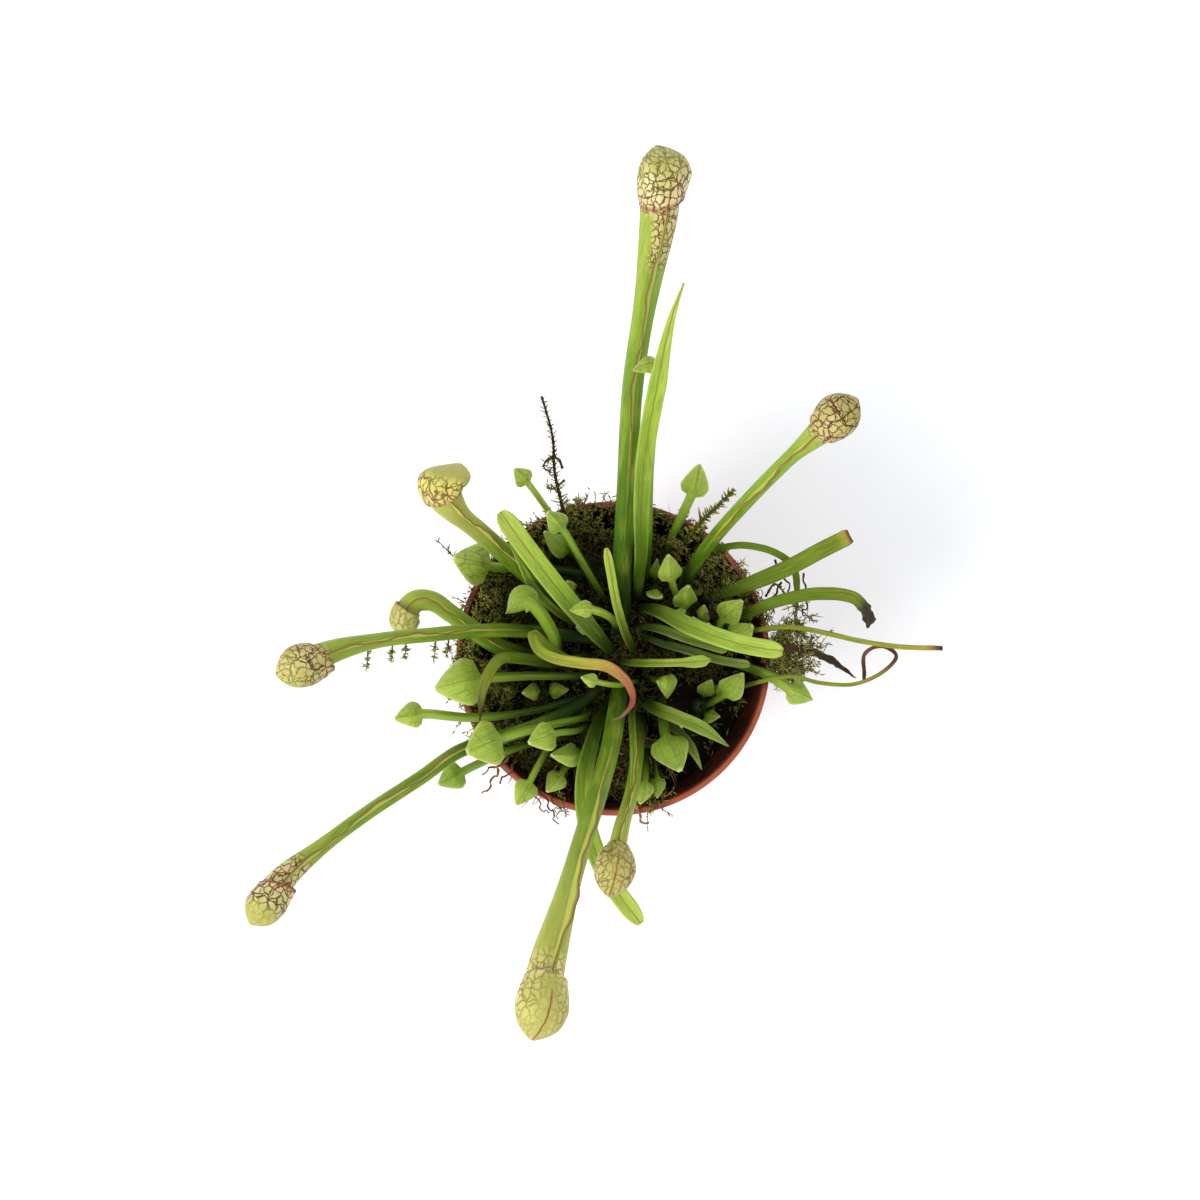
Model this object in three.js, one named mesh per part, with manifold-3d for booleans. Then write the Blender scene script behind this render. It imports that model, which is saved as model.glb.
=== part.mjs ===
// A young hooded pitcher plant in a round nursery pot.
// Millimetres, +Z up, origin at the middle of the pot's flat foot.
// Leaves are lofts along a smooth spine; every leaf stands in its own plain hole in the peat.
import * as THREE from "three";
import { mergeVertices } from "three/addons/utils/BufferGeometryUtils.js";
import Module from "manifold-3d";

const wasm = await Module();
wasm.setup();

// ---------------------------------------------------------------- driving dimensions
const RIM_DIAMETER = 90;
const POT_HEIGHT = 75;
const FOOT_DIAMETER = 62;
const POT_WALL = 1.3;
const POT_FLOOR = 2;
const COLLAR_HEIGHT = 12;
const COLLAR_STEP = 1.6;
const DRAIN_HOLES = 8;
const DRAIN_DIAMETER = 6;
const DRAIN_CIRCLE = 46;
const GAP = 0.3;
const PEAT_EDGE = 64.5;
const PEAT_MOUND = 2.6;
const ROOT_Z = 60;
const HOLE_TOP = 70;
const HOLE_PLAY = 0.4;
const PITCHER_WALL = 0.85;
const BLADE_THICKNESS = 1.1;
const EDGE_THICKNESS = 0.7;
const CREST_THICKNESS = 0.7;
const RHIZOME_CENTRE = [1, 0, 55.4];
const RHIZOME_HALF = [13, 9, 5.6];

// ---------------------------------------------------------------- solids
function solid(geometry) {
  const bare = new THREE.BufferGeometry()
    .setAttribute("position", geometry.getAttribute("position"))
    .setIndex(geometry.index);
  const merged = mergeVertices(bare, 1e-4);
  const index = merged.index.array;
  return new wasm.Manifold(
    new wasm.Mesh({
      numProp: 3,
      vertProperties: new Float32Array(merged.attributes.position.array),
      triVerts: new Uint32Array(index),
    }),
  );
}

function geometryOf(body) {
  const mesh = body.getMesh();
  const geometry = new THREE.BufferGeometry()
    .setAttribute("position", new THREE.BufferAttribute(mesh.vertProperties, 3))
    .setIndex(new THREE.BufferAttribute(mesh.triVerts, 1));
  geometry.computeVertexNormals();
  return geometry;
}

const join = (bodies) => bodies.reduce((whole, body) => whole.add(body));

// A closed skin over rings of equal point count, each ring turning left about the way forward.
// Quads on the left half are split one way and on the right half the other, so that the two
// faces of a thin fin or blade are split alike.
function loft(rings) {
  const count = rings[0].length;
  const points = rings.flat();
  const index = [];
  const first = points.push(centroid(rings[0])) - 1;
  const last = points.push(centroid(rings.at(-1))) - 1;
  const end = (rings.length - 1) * count;
  for (let j = 0; j < count; j++) {
    const k = (j + 1) % count;
    index.push(first, k, j);
    index.push(last, end + j, end + k);
    for (let i = 0; i < rings.length - 1; i++) {
      const [a, b, c, d] = [i * count + j, i * count + k, (i + 1) * count + k, (i + 1) * count + j];
      if (j < count / 2) index.push(a, b, c, a, c, d);
      else index.push(a, b, d, b, c, d);
    }
  }
  return new THREE.BufferGeometry()
    .setAttribute("position", new THREE.Float32BufferAttribute(points.flatMap((p) => p.toArray()), 3))
    .setIndex(index);
}

function centroid(ring) {
  return ring.reduce((sum, p) => sum.add(p), new THREE.Vector3()).divideScalar(ring.length);
}

// ---------------------------------------------------------------- spines
// A leaf's spine runs from its root in the peat through the listed points. At each place it has
// the way forward, the side (level) and the upper face's normal. Near the root, where the spine
// stands nearly upright, the side is held square to the leaf's first heading.
function spineThrough(points, heading, held = 16) {
  const curve = new THREE.CatmullRomCurve3(points, false, "centripetal");
  curve.arcLengthDivisions = 300;
  curve.heading = heading.clone().setZ(0).normalize();
  curve.held = held;
  curve.span = curve.getLength();
  return curve;
}

function spineOf(path, rooted = true) {
  const points = path.map((p) => new THREE.Vector3(...p));
  const heading = points[1].clone().sub(points[0]);
  if (rooted) points.unshift(points[0].clone().setZ(ROOT_Z));
  return spineThrough(points, heading);
}

function frameAt(curve, distance, twist = 0) {
  const along = THREE.MathUtils.clamp(distance / curve.span, 0, 1);
  const place = curve.getPointAt(along);
  const forward = curve.getTangentAt(along);
  const hold = 1.2 * (1 - smooth(curve.held / 4, curve.held, distance));
  const level = forward.clone().addScaledVector(curve.heading, hold);
  const side = new THREE.Vector3(level.y, -level.x, 0).normalize();
  const up = new THREE.Vector3().crossVectors(side, forward).normalize();
  side.crossVectors(forward, up);
  side.applyAxisAngle(forward, twist);
  up.applyAxisAngle(forward, twist);
  return { place, forward, side, up };
}

function at(frame, sideways, upwards, onwards = 0) {
  return frame.place
    .clone()
    .addScaledVector(frame.side, sideways)
    .addScaledVector(frame.up, upwards)
    .addScaledVector(frame.forward, onwards);
}

// Distances along a leaf for its sections: the root's end, the peat's surface, then evenly on.
function stationsTo(end, spacing, fewest, start = 6.5) {
  const steps = Math.max(fewest, Math.round((end - start) / spacing));
  const even = Array.from({ length: steps + 1 }, (_, i) => start + ((end - start) * i) / steps);
  return start > 0 ? [0, ...even] : even;
}

const mix = THREE.MathUtils.lerp;
const smooth = (low, high, value) => THREE.MathUtils.smoothstep(value, low, high);

// An ellipse of points round a frame, turning left about the way forward, from the top.
// Its top may lean back, and its right side may be slanted forwards.
function ellipse(frame, halfWidth, halfHeight, sides, lift = 0, lean = 0, slant = 0) {
  return Array.from({ length: sides }, (_, j) => {
    const angle = (2 * Math.PI * (j + 0.5)) / sides;
    const [wide, high] = [halfWidth * Math.sin(angle), Math.cos(angle)];
    return at(frame, wide, lift + halfHeight * high, slant * wide - (lean * (1 + high)) / 2);
  });
}

// The plain hole that a leaf's root stands in: upright, five-sided, a little wider towards its top.
function holeAt([x, y], rootWidth) {
  const radius = 1.24 * (rootWidth / 2 + HOLE_PLAY);
  const profile = [
    [0, ROOT_Z - HOLE_PLAY],
    [radius, ROOT_Z - HOLE_PLAY],
    [radius + 1.2, HOLE_TOP],
    [0, HOLE_TOP],
  ];
  return solid(lathe(profile, 5).translate(x, y, 0));
}

const holes = [];

// ---------------------------------------------------------------- grown pitchers
// tube: [root width, slim width, mouth width, where it starts to flare], hood: [length, width, share
// of that width at the mouth, slant of its margin, how far its tip turns to the right], crest:
// greatest height of the wavy crest on the upper face, sway: how far the crest leans over to the
// right, in shares of its height, and spine points up to the hood's far end.
const PITCHERS = {
  pitcher_north: {
    tube: [4, 5.6, 10.2, 0.7],
    hood: [12.4, 13.6, 0.8, 0.25],
    crest: 1.7,
    sway: -1,
    twist: 0.35,
    path: [
      [3.2, 12.8, 67.5], [1.6, 24, 82], [1.2, 43.5, 101], [0.9, 67.5, 122], [3.3, 92, 145],
      [4.2, 103.5, 156.5], [3.3, 116, 165.2],
    ],
  },
  pitcher_north_east: {
    tube: [3.4, 3.8, 7.4, 0.8],
    hood: [10.6, 11, 0.8, 0],
    crest: 1.3,
    sway: 0.6,
    path: [
      [19.5, 18.6, 67.5], [21.3, 24, 78], [25.2, 30.5, 96], [31.7, 38, 118], [39.3, 45.5, 138],
      [45.5, 50.5, 150], [52, 56, 158.5],
    ],
  },
  pitcher_west: {
    tube: [3.4, 3.8, 6.8, 0.76],
    hood: [11.2, 11, 0.82, 0.45],
    crest: 1.5,
    sway: 0.3,
    twist: -0.25,
    path: [
      [-4, 5.6, 67.5], [-14, 6, 75], [-24.5, 6.2, 83.5], [-38.5, 5, 96.5], [-52, 2.4, 110],
      [-64, -0.2, 122], [-75, -3.9, 131.5], [-88, -10.5, 139.2],
    ],
  },
  pitcher_south_west: {
    tube: [3.2, 3.8, 7.4, 0.8],
    hood: [10.4, 9.8, 0.86, 0.4],
    crest: 1.5,
    sway: 0.7,
    twist: -0.3,
    path: [
      [-4.2, -8.8, 67.5], [-10.4, -13.8, 74], [-20, -18.9, 81], [-32.7, -23.7, 88],
      [-43.6, -27.5, 95], [-54, -35, 104], [-66.3, -43.5, 115], [-78.2, -52.8, 126], [-86.6, -60.4, 133],
      [-93, -70.3, 138.5],
    ],
  },
  pitcher_south: {
    tube: [4.2, 5.2, 9.2, 0.68],
    hood: [13.4, 12.6, 0.8, 0],
    crest: 1.7,
    sway: -0.8,
    twist: -0.25,
    path: [
      [2.2, -4.8, 67.5], [0.2, -14, 82], [-3.3, -27, 99], [-8, -39.5, 115], [-13.5, -53, 131],
      [-18.7, -67, 146], [-22.9, -79.5, 157], [-26.2, -94.8, 164],
    ],
  },
  pitcher_north_west: {
    tube: [3.6, 5.4, 10.4, 0.76],
    hood: [8, 12.8, 0.86, 0.1, 4],
    crest: 1.2,
    sway: 0.4,
    path: [
      [-11.8, 13.3, 67.5], [-20, 18.8, 76], [-29.7, 25.6, 88], [-38.7, 31.3, 101], [-46, 36, 112],
      [-49.2, 41, 117.5], [-48.4, 46.6, 120.4],
    ],
  },
  pitcher_west_drooping: {
    tube: [3.6, 5, 6.4, 0.7],
    hood: [6.6, 8.2, 0.9, 0],
    crest: 1,
    sway: -0.5,
    path: [
      [-18.5, -1.5, 67.5], [-25, 0, 74], [-32.8, 2, 81], [-41, 6.6, 88.3], [-46.6, 10, 94.2],
      [-51.6, 12.8, 98], [-56, 12.4, 99.5], [-58.5, 9.2, 98.5], [-58.7, 5.4, 95.4],
    ],
  },
  pitcher_south_short: {
    tube: [3, 3.8, 4.8, 0.7],
    hood: [13, 10.8, 0.54, 0],
    crest: 1,
    sway: 0.4,
    path: [[7.7, -17, 67.5], [6.2, -25, 79], [3, -38, 95], [-1.3, -49, 108], [-5, -65.3, 116]],
  },
};

// Half width of the tube at a share of its own length: slim, then flaring to the mouth.
function tubeHalf([root, slim, mouth, flare], share) {
  return mix(mix(root, slim, smooth(0, 0.25, share)), mouth, smooth(flare, 1.02, share) ** 1.4) / 2;
}

// The hood's sections from mouth to tip: [share of its length, how far the width has grown from the
// mouth's to the full one, share of full width, height over the mouth's, share of full height].
const HOOD_SECTIONS = [
  [0, 0, 1, 1, 0],
  [0.25, 0.76, 1, 0.3, 0.7],
  [0.52, 1, 1, 0, 1],
  [0.78, 1, 0.82, 0, 0.8],
  [0.93, 1, 0.46, 0, 0.44],
  [1, 1, 0.1, 0, 0.1],
];

function hoodRing(curve, { tube, hood, twist = 0 }, section, skin, back, sides) {
  const [hoodLength, hoodWidth, shoulder, slant, beak = 0] = hood;
  const [share, grown, wide, mouthHigh, high] = section;
  const frame = frameAt(curve, curve.span - (1 - share) * hoodLength - back, twist);
  const halfWidth = (mix(shoulder, 1, grown) * wide * hoodWidth) / 2;
  const tubeHigh = 0.9 * tubeHalf(tube, 1);
  const halfHeight = (tubeHigh + 1.15) * mouthHigh + 0.44 * hoodWidth * high;
  const floor = -tubeHigh * mix(1, 0.3, share * share);
  const lean = 0.05 * hoodLength * (1 - share);
  const middle = { ...frame, place: at(frame, beak * share * share, 0) };
  const lift = floor + halfHeight;
  return ellipse(middle, halfWidth - skin, halfHeight - skin, sides, lift, lean, slant * (1 - share) ** 2);
}

function pitcher(form) {
  const curve = spineOf(form.path);
  const twist = form.twist ?? 0;
  const mouthAt = curve.span - form.hood[0];
  const half = CREST_THICKNESS / 2;
  const tubeRings = [];
  const coreRings = [];
  const [tubeEnd, flareAt] = [mouthAt + 1.2, form.tube[3] * (mouthAt + 1.2)];
  const flared = [0.4, 0.72, 1].map((part) => mix(flareAt, tubeEnd, part));
  for (const distance of [...stationsTo(flareAt, 18, 4), ...flared]) {
    const share = distance / tubeEnd;
    const frame = frameAt(curve, distance, twist * smooth(0.3, 1, share));
    const a = tubeHalf(form.tube, share);
    const b = 0.9 * a;
    const crest = form.crest * smooth(0.12, 0.8, share) * (1 - 0.75 * smooth(0.86, 1, share));
    const wave = crest * (0.8 * form.sway * smooth(0.2, 0.7, share) + 0.4 * Math.sin(9 * share * Math.PI));
    tubeRings.push([
      at(frame, half + wave, b + crest),
      at(frame, half, b * 0.9),
      ...ellipse(frame, a, b, 6),
      at(frame, -half, b * 0.9),
      at(frame, -half + wave, b + crest),
    ]);
    if (share > 0.7) coreRings.push(ellipse(frame, a - PITCHER_WALL, b - PITCHER_WALL, 6));
  }
  const outer = HOOD_SECTIONS.map((section) => hoodRing(curve, form, section, 0, 0, 10));
  const inner = HOOD_SECTIONS.slice(0, 4).map((section) =>
    hoodRing(curve, form, section, PITCHER_WALL, 0, 8),
  );
  inner.unshift(hoodRing(curve, form, HOOD_SECTIONS[0], PITCHER_WALL, 1.5, 8));
  holes.push(holeAt(form.path[0], form.tube[0]));
  return solid(loft(tubeRings))
    .add(solid(loft(outer)))
    .subtract(solid(loft(inner)).add(solid(loft(coreRings))));
}

// ---------------------------------------------------------------- blades
// Flat, slightly folded leaves: [root width, widest width], tip form, and spine points.
const BLADES = {
  growing_leaf_north: {
    width: [2.8, 4.6], tip: "pointed",
    path: [
      [7, 17.4, 67.5], [6, 27, 90], [4.1, 39, 111], [3.8, 50.5, 127], [5.2, 62.5, 139.5],
      [7.6, 77, 151], [10.2, 85, 156],
    ],
  },
  growing_leaf_north_west: {
    width: [2.4, 5.6], tip: "round",
    path: [
      [0.4, 1.4, 67.5], [-5, 5, 80], [-12.3, 11.6, 90], [-20, 19.4, 98], [-28, 29, 103],
      [-33.4, 36.2, 105],
    ],
  },
  thin_leaf_north_west: {
    width: [1.8, 2.2], tip: "pointed",
    path: [[-7.7, 9, 67.5], [-16.4, 12, 79], [-23.6, 17.6, 88.5], [-27.8, 24, 95], [-30.6, 28.4, 99]],
  },
  growing_leaf_upright: {
    width: [2, 2.4], tip: "round",
    path: [[6.3, 1.4, 67.5], [2, 6.2, 84], [-1.5, 13, 97], [-3.7, 21, 104], [-5, 26.4, 107]],
  },
  growing_leaf_east: {
    width: [2.2, 5], tip: "round",
    path: [[8, 15, 67.5], [12.5, 12.3, 80], [20.4, 7, 89], [31.5, 2.3, 95], [44.4, -0.3, 97]],
  },
  bulb_leaf_east: {
    width: [1.7, 2.2], tip: "bulb",
    path: [[2.2, -0.8, 67.5], [5.6, -2.2, 80], [13, -2.8, 88], [21, -2.7, 91], [25.2, -2.2, 92]],
  },
  leaf_south_east: {
    width: [2.4, 3.8], tip: "pointed",
    path: [[9.2, -12, 67.5], [10.3, -14.5, 78], [15.6, -17.4, 86], [23, -20.8, 88], [31, -25.6, 84]],
  },
  leaf_south_east_low: {
    width: [2, 2.8], tip: "pointed",
    path: [[12.4, -16.3, 67.5], [15.5, -18.4, 71], [19.5, -23, 75.5], [22, -27, 77.5], [24.3, -32, 78]],
  },
  thin_leaf_south: {
    width: [1.6, 1.9], tip: "pointed",
    path: [[5.4, -11, 67.5], [4, -19.8, 84], [3, -28.6, 98], [1.7, -37.5, 106]],
  },
  long_leaf_south: {
    width: [2.6, 5], tip: "round",
    path: [
      [-2.2, -12.8, 67.5], [-6.3, -22.5, 80], [-9.8, -35, 91], [-9.4, -47.3, 98],
      [-4.7, -60.4, 102], [4.4, -73, 104],
    ],
  },
  curled_leaf: {
    dry: true, width: [2, 3], tip: "pointed",
    path: [
      [-7, 0.8, 67.5], [-14, -1.5, 84], [-21, 1.5, 96], [-24.2, 3.6, 100.5], [-23, -0.5, 104],
      [-19, -3.2, 107], [-12, -4.7, 109], [-4.7, -5.7, 109], [0.8, -10, 107], [2.3, -14.6, 103.5],
      [-0.2, -18.2, 101], [-2.7, -19.4, 99],
    ],
  },
  withered_leaf_west: {
    dry: true, width: [2.4, 3.2], tip: "pointed",
    path: [
      [-11.8, -1.6, 67.5], [-18.6, -2.2, 79], [-26.8, -1.9, 88], [-33, -2.6, 94],
      [-36.8, -8.4, 97], [-38, -14.2, 94], [-38.2, -18.8, 89],
    ],
  },
  withered_leaf_north_east: {
    dry: true, width: [1.8, 2], tip: "pointed",
    path: [
      [24.4, 27.6, 67.5], [28.4, 30.6, 76], [36.3, 31, 84], [44.5, 28.7, 86], [49.8, 25.4, 83],
      [52.5, 19.5, 76], [53.6, 12.2, 68],
    ],
  },
  cut_leaf_east: {
    width: [2.2, 4.6], tip: "cut",
    path: [
      [27.2, 17.7, 67.5], [31.2, 18.5, 73], [38, 20.4, 81], [48, 24.2, 90], [55.7, 28.2, 94],
      [64.2, 32.5, 94],
    ],
  },
  bent_leaf_east: {
    dry: true, width: [2.4, 3.6], tip: "cut",
    path: [
      [33.5, 11.3, 67.5], [36.5, 11.6, 78], [44, 14.5, 88], [55, 16.6, 90], [65.7, 16.4, 86],
      [70.8, 14, 80], [74.6, 10.2, 72],
    ],
  },
  long_withered_leaf_east: {
    dry: true, width: [1.4, 1.4], tip: "cut",
    path: [
      [36, 7.6, 67.5], [40, 7.6, 78], [49, 8, 83], [57.4, 6.6, 84], [69, 4.2, 83], [80.8, 2.7, 82],
      [93.5, 2.6, 80],
    ],
  },
  looped_leaf_east: {
    dry: true, width: [1.2, 1.1], tip: "cut",
    path: [
      [36, -8.8, 67.5], [39.2, -7.7, 80], [48.2, -6.1, 85], [58.4, -7.7, 81], [68.7, -7.6, 78],
      [77.2, -3.8, 77], [81, 0.6, 76.5], [77, 3.4, 76], [72.6, 1.6, 74], [73, -5.9, 70],
    ],
  },
  dead_leaf_east: {
    dry: true, width: [1.6, 2.2], tip: "pointed",
    path: [
      [36.4, 2.6, 67.5], [40, 2.2, 75], [45.5, 2.2, 78.5], [53, 2.2, 77.5], [62.1, 0, 72],
      [71.7, -5, 65],
    ],
  },
};

// How a blade's width goes over its length, as a share of the width it would have there.
const roundEnd = (share) => Math.sqrt(Math.max(0, 1 - 0.85 * (Math.max(share - 0.93, 0) / 0.07) ** 2));
const TIP_SHAPE = {
  pointed: (share) => Math.min(1, 4.2 * (1 - share) + 0.14),
  round: roundEnd,
  bulb: (share) => 1 + 0.5 * smooth(0.8, 0.9, share) - 1.1 * smooth(0.95, 1, share),
  cut: (share) => 1 - 0.1 * smooth(0.97, 1, share),
};

function blade(form, rooted = true) {
  const curve = spineOf(form.path, rooted);
  const [root, widest] = form.width;
  const rings = [];
  for (const distance of stationsTo(curve.span, 9, 6, rooted ? 6.5 : 0)) {
    const share = distance / curve.span;
    const frame = frameAt(curve, distance);
    const half = (mix(root, widest, smooth(0, 0.6, share)) / 2) * TIP_SHAPE[form.tip](share);
    const stout = mix(Math.min(root, 1.8), BLADE_THICKNESS, smooth(0, 0.35, share)) / 2;
    const edge = Math.min(EDGE_THICKNESS / 2, stout);
    const fold = 0.35 * half * smooth(0.1, 0.5, share);
    rings.push([
      at(frame, -half, fold + edge),
      at(frame, 0, stout),
      at(frame, half, fold + edge),
      at(frame, half, fold - edge),
      at(frame, 0, -stout),
      at(frame, -half, fold - edge),
    ]);
  }
  return solid(loft(rings));
}

// ---------------------------------------------------------------- young pitchers
// A slim stalk with a low keel under a folded arrowhead hood: [stalk root width, stalk top width],
// hood [length, width], and spine points up to the hood's far point.
const YOUNG = {
  young_pitcher_north_west_long: {
    stalk: [1.6, 2], hood: [4.4, 5.8],
    path: [
      [-5.4, 20, 67.5], [-9.3, 26, 74], [-14.7, 33, 84], [-20.8, 40, 93], [-26.3, 45.7, 100],
      [-29.6, 48.6, 102.5],
    ],
  },
  young_pitcher_north_west_inner: {
    stalk: [1.8, 2.2], hood: [5.2, 6.4],
    path: [[-2.2, 17, 67.5], [-5.7, 19.8, 80], [-11, 26, 91], [-16, 32.6, 98], [-20.6, 37.2, 101]],
  },
  young_pitcher_west_veined: {
    stalk: [2.6, 3], hood: [8.5, 12.4],
    path: [[-6.3, 24, 67.5], [-14, 25.2, 71], [-25.7, 25, 76], [-35.7, 24.6, 82], [-46.2, 26.4, 86]],
  },
  young_pitcher_west_large: {
    stalk: [2.4, 3.2], hood: [10, 13.4],
    path: [
      [-5.6, -4.6, 67.5], [-12.7, -5.6, 75], [-25.7, -6.2, 82], [-39.4, -7.9, 89],
      [-50.6, -10.6, 91],
    ],
  },
  young_pitcher_west_outer: {
    stalk: [2.2, 3.2], hood: [6, 7.4],
    path: [
      [-9.8, -11.4, 67.5], [-16.4, -13.6, 71.5], [-26.8, -16.2, 75], [-41, -17.8, 81],
      [-54.6, -17.1, 86], [-61.6, -18.6, 87],
    ],
  },
  young_pitcher_south_west_large: {
    stalk: [2, 2.8], hood: [8, 12.6],
    path: [[-6.4, -15.2, 67.5], [-9.5, -17.6, 80], [-19, -20.3, 91], [-30.2, -23.4, 97], [-42, -28, 101]],
  },
  young_pitcher_south_west_low: {
    stalk: [2, 2.8], hood: [6, 8],
    path: [
      [-13, -22.6, 67.5], [-20, -23.7, 71], [-29.6, -26.7, 76.4], [-39.4, -31, 80],
      [-49.6, -36.4, 82],
    ],
  },
  young_pitcher_south_west_inner: {
    stalk: [1.8, 2.2], hood: [6.4, 8.2],
    path: [[-7.6, -19, 67.5], [-11.2, -21.4, 82], [-18, -22.8, 95], [-25.4, -25.4, 98.5]],
  },
  young_pitcher_south_west_rim: {
    stalk: [1.6, 2.2], hood: [5.8, 6.8],
    path: [
      [-14.4, -18.1, 67.5], [-16.8, -22.4, 74.5], [-21.8, -30.8, 80], [-24.7, -36.4, 82],
      [-28, -42, 82.5],
    ],
  },
  young_pitcher_west_thick: {
    stalk: [3, 4.4], hood: [7.2, 7.6],
    path: [
      [-15.8, 1.2, 67.5], [-16.8, 2, 78], [-18.8, 6, 88.5], [-23.2, 11.7, 93.5], [-26.6, 14, 94],
      [-30.6, 10.8, 91],
    ],
  },
  young_pitcher_north_hooked: {
    stalk: [1.8, 2.8], hood: [5.4, 5],
    path: [
      [9.8, 23, 67.5], [8.8, 32, 86], [7, 48, 106], [6.8, 61.4, 120], [6.6, 66.5, 129.5],
      [4, 69.2, 136], [-0.4, 67.8, 136],
    ],
  },
  young_pitcher_north_dark: {
    stalk: [2.4, 3.4], hood: [8, 7],
    path: [[-9.6, 29.4, 67.5], [-12.4, 30.4, 72], [-17, 32, 78.5], [-20.6, 35, 80]],
  },
  young_pitcher_north_west_tiny: {
    stalk: [1.6, 2], hood: [4.2, 4.2],
    path: [[-8.8, 17.6, 67.5], [-11.8, 18.3, 73], [-13.9, 21.2, 79]],
  },
  young_pitcher_centre: {
    stalk: [1.4, 1.8], hood: [3.8, 4],
    path: [[7.2, -6.8, 67.5], [4.9, -7.4, 77], [0, -9, 87], [-5.6, -8.7, 93], [-11, -7.4, 95.5]],
  },
  young_pitcher_east_inner: {
    stalk: [1.6, 2], hood: [5.2, 5.8],
    path: [[10.4, -5.2, 67.5], [11.9, -6.8, 75], [14, -7.2, 81.5], [14.3, -12, 80.5]],
  },
  young_pitcher_south_east_large: {
    stalk: [2.2, 3.6], hood: [9, 11],
    path: [[14.2, -11, 67.5], [13.6, -16.2, 74.5], [13.9, -24, 83], [17, -33, 88.5]],
  },
  young_pitcher_north_east_wide: {
    stalk: [2.2, 3.2], hood: [7, 8],
    path: [[15.5, 29.4, 67.5], [16, 33.6, 76], [18.3, 39.6, 87], [20.7, 45.7, 93], [22, 52.2, 94.5]],
  },
  young_pitcher_over_rim_east: {
    stalk: [2.4, 3.6], hood: [5.6, 7.4],
    path: [
      [32.2, -0.6, 67.5], [37.9, -2.4, 72], [44.4, -5.8, 78.5], [49.8, -9.7, 80.5],
      [55.4, -12.3, 79.5],
    ],
  },
};

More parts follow.
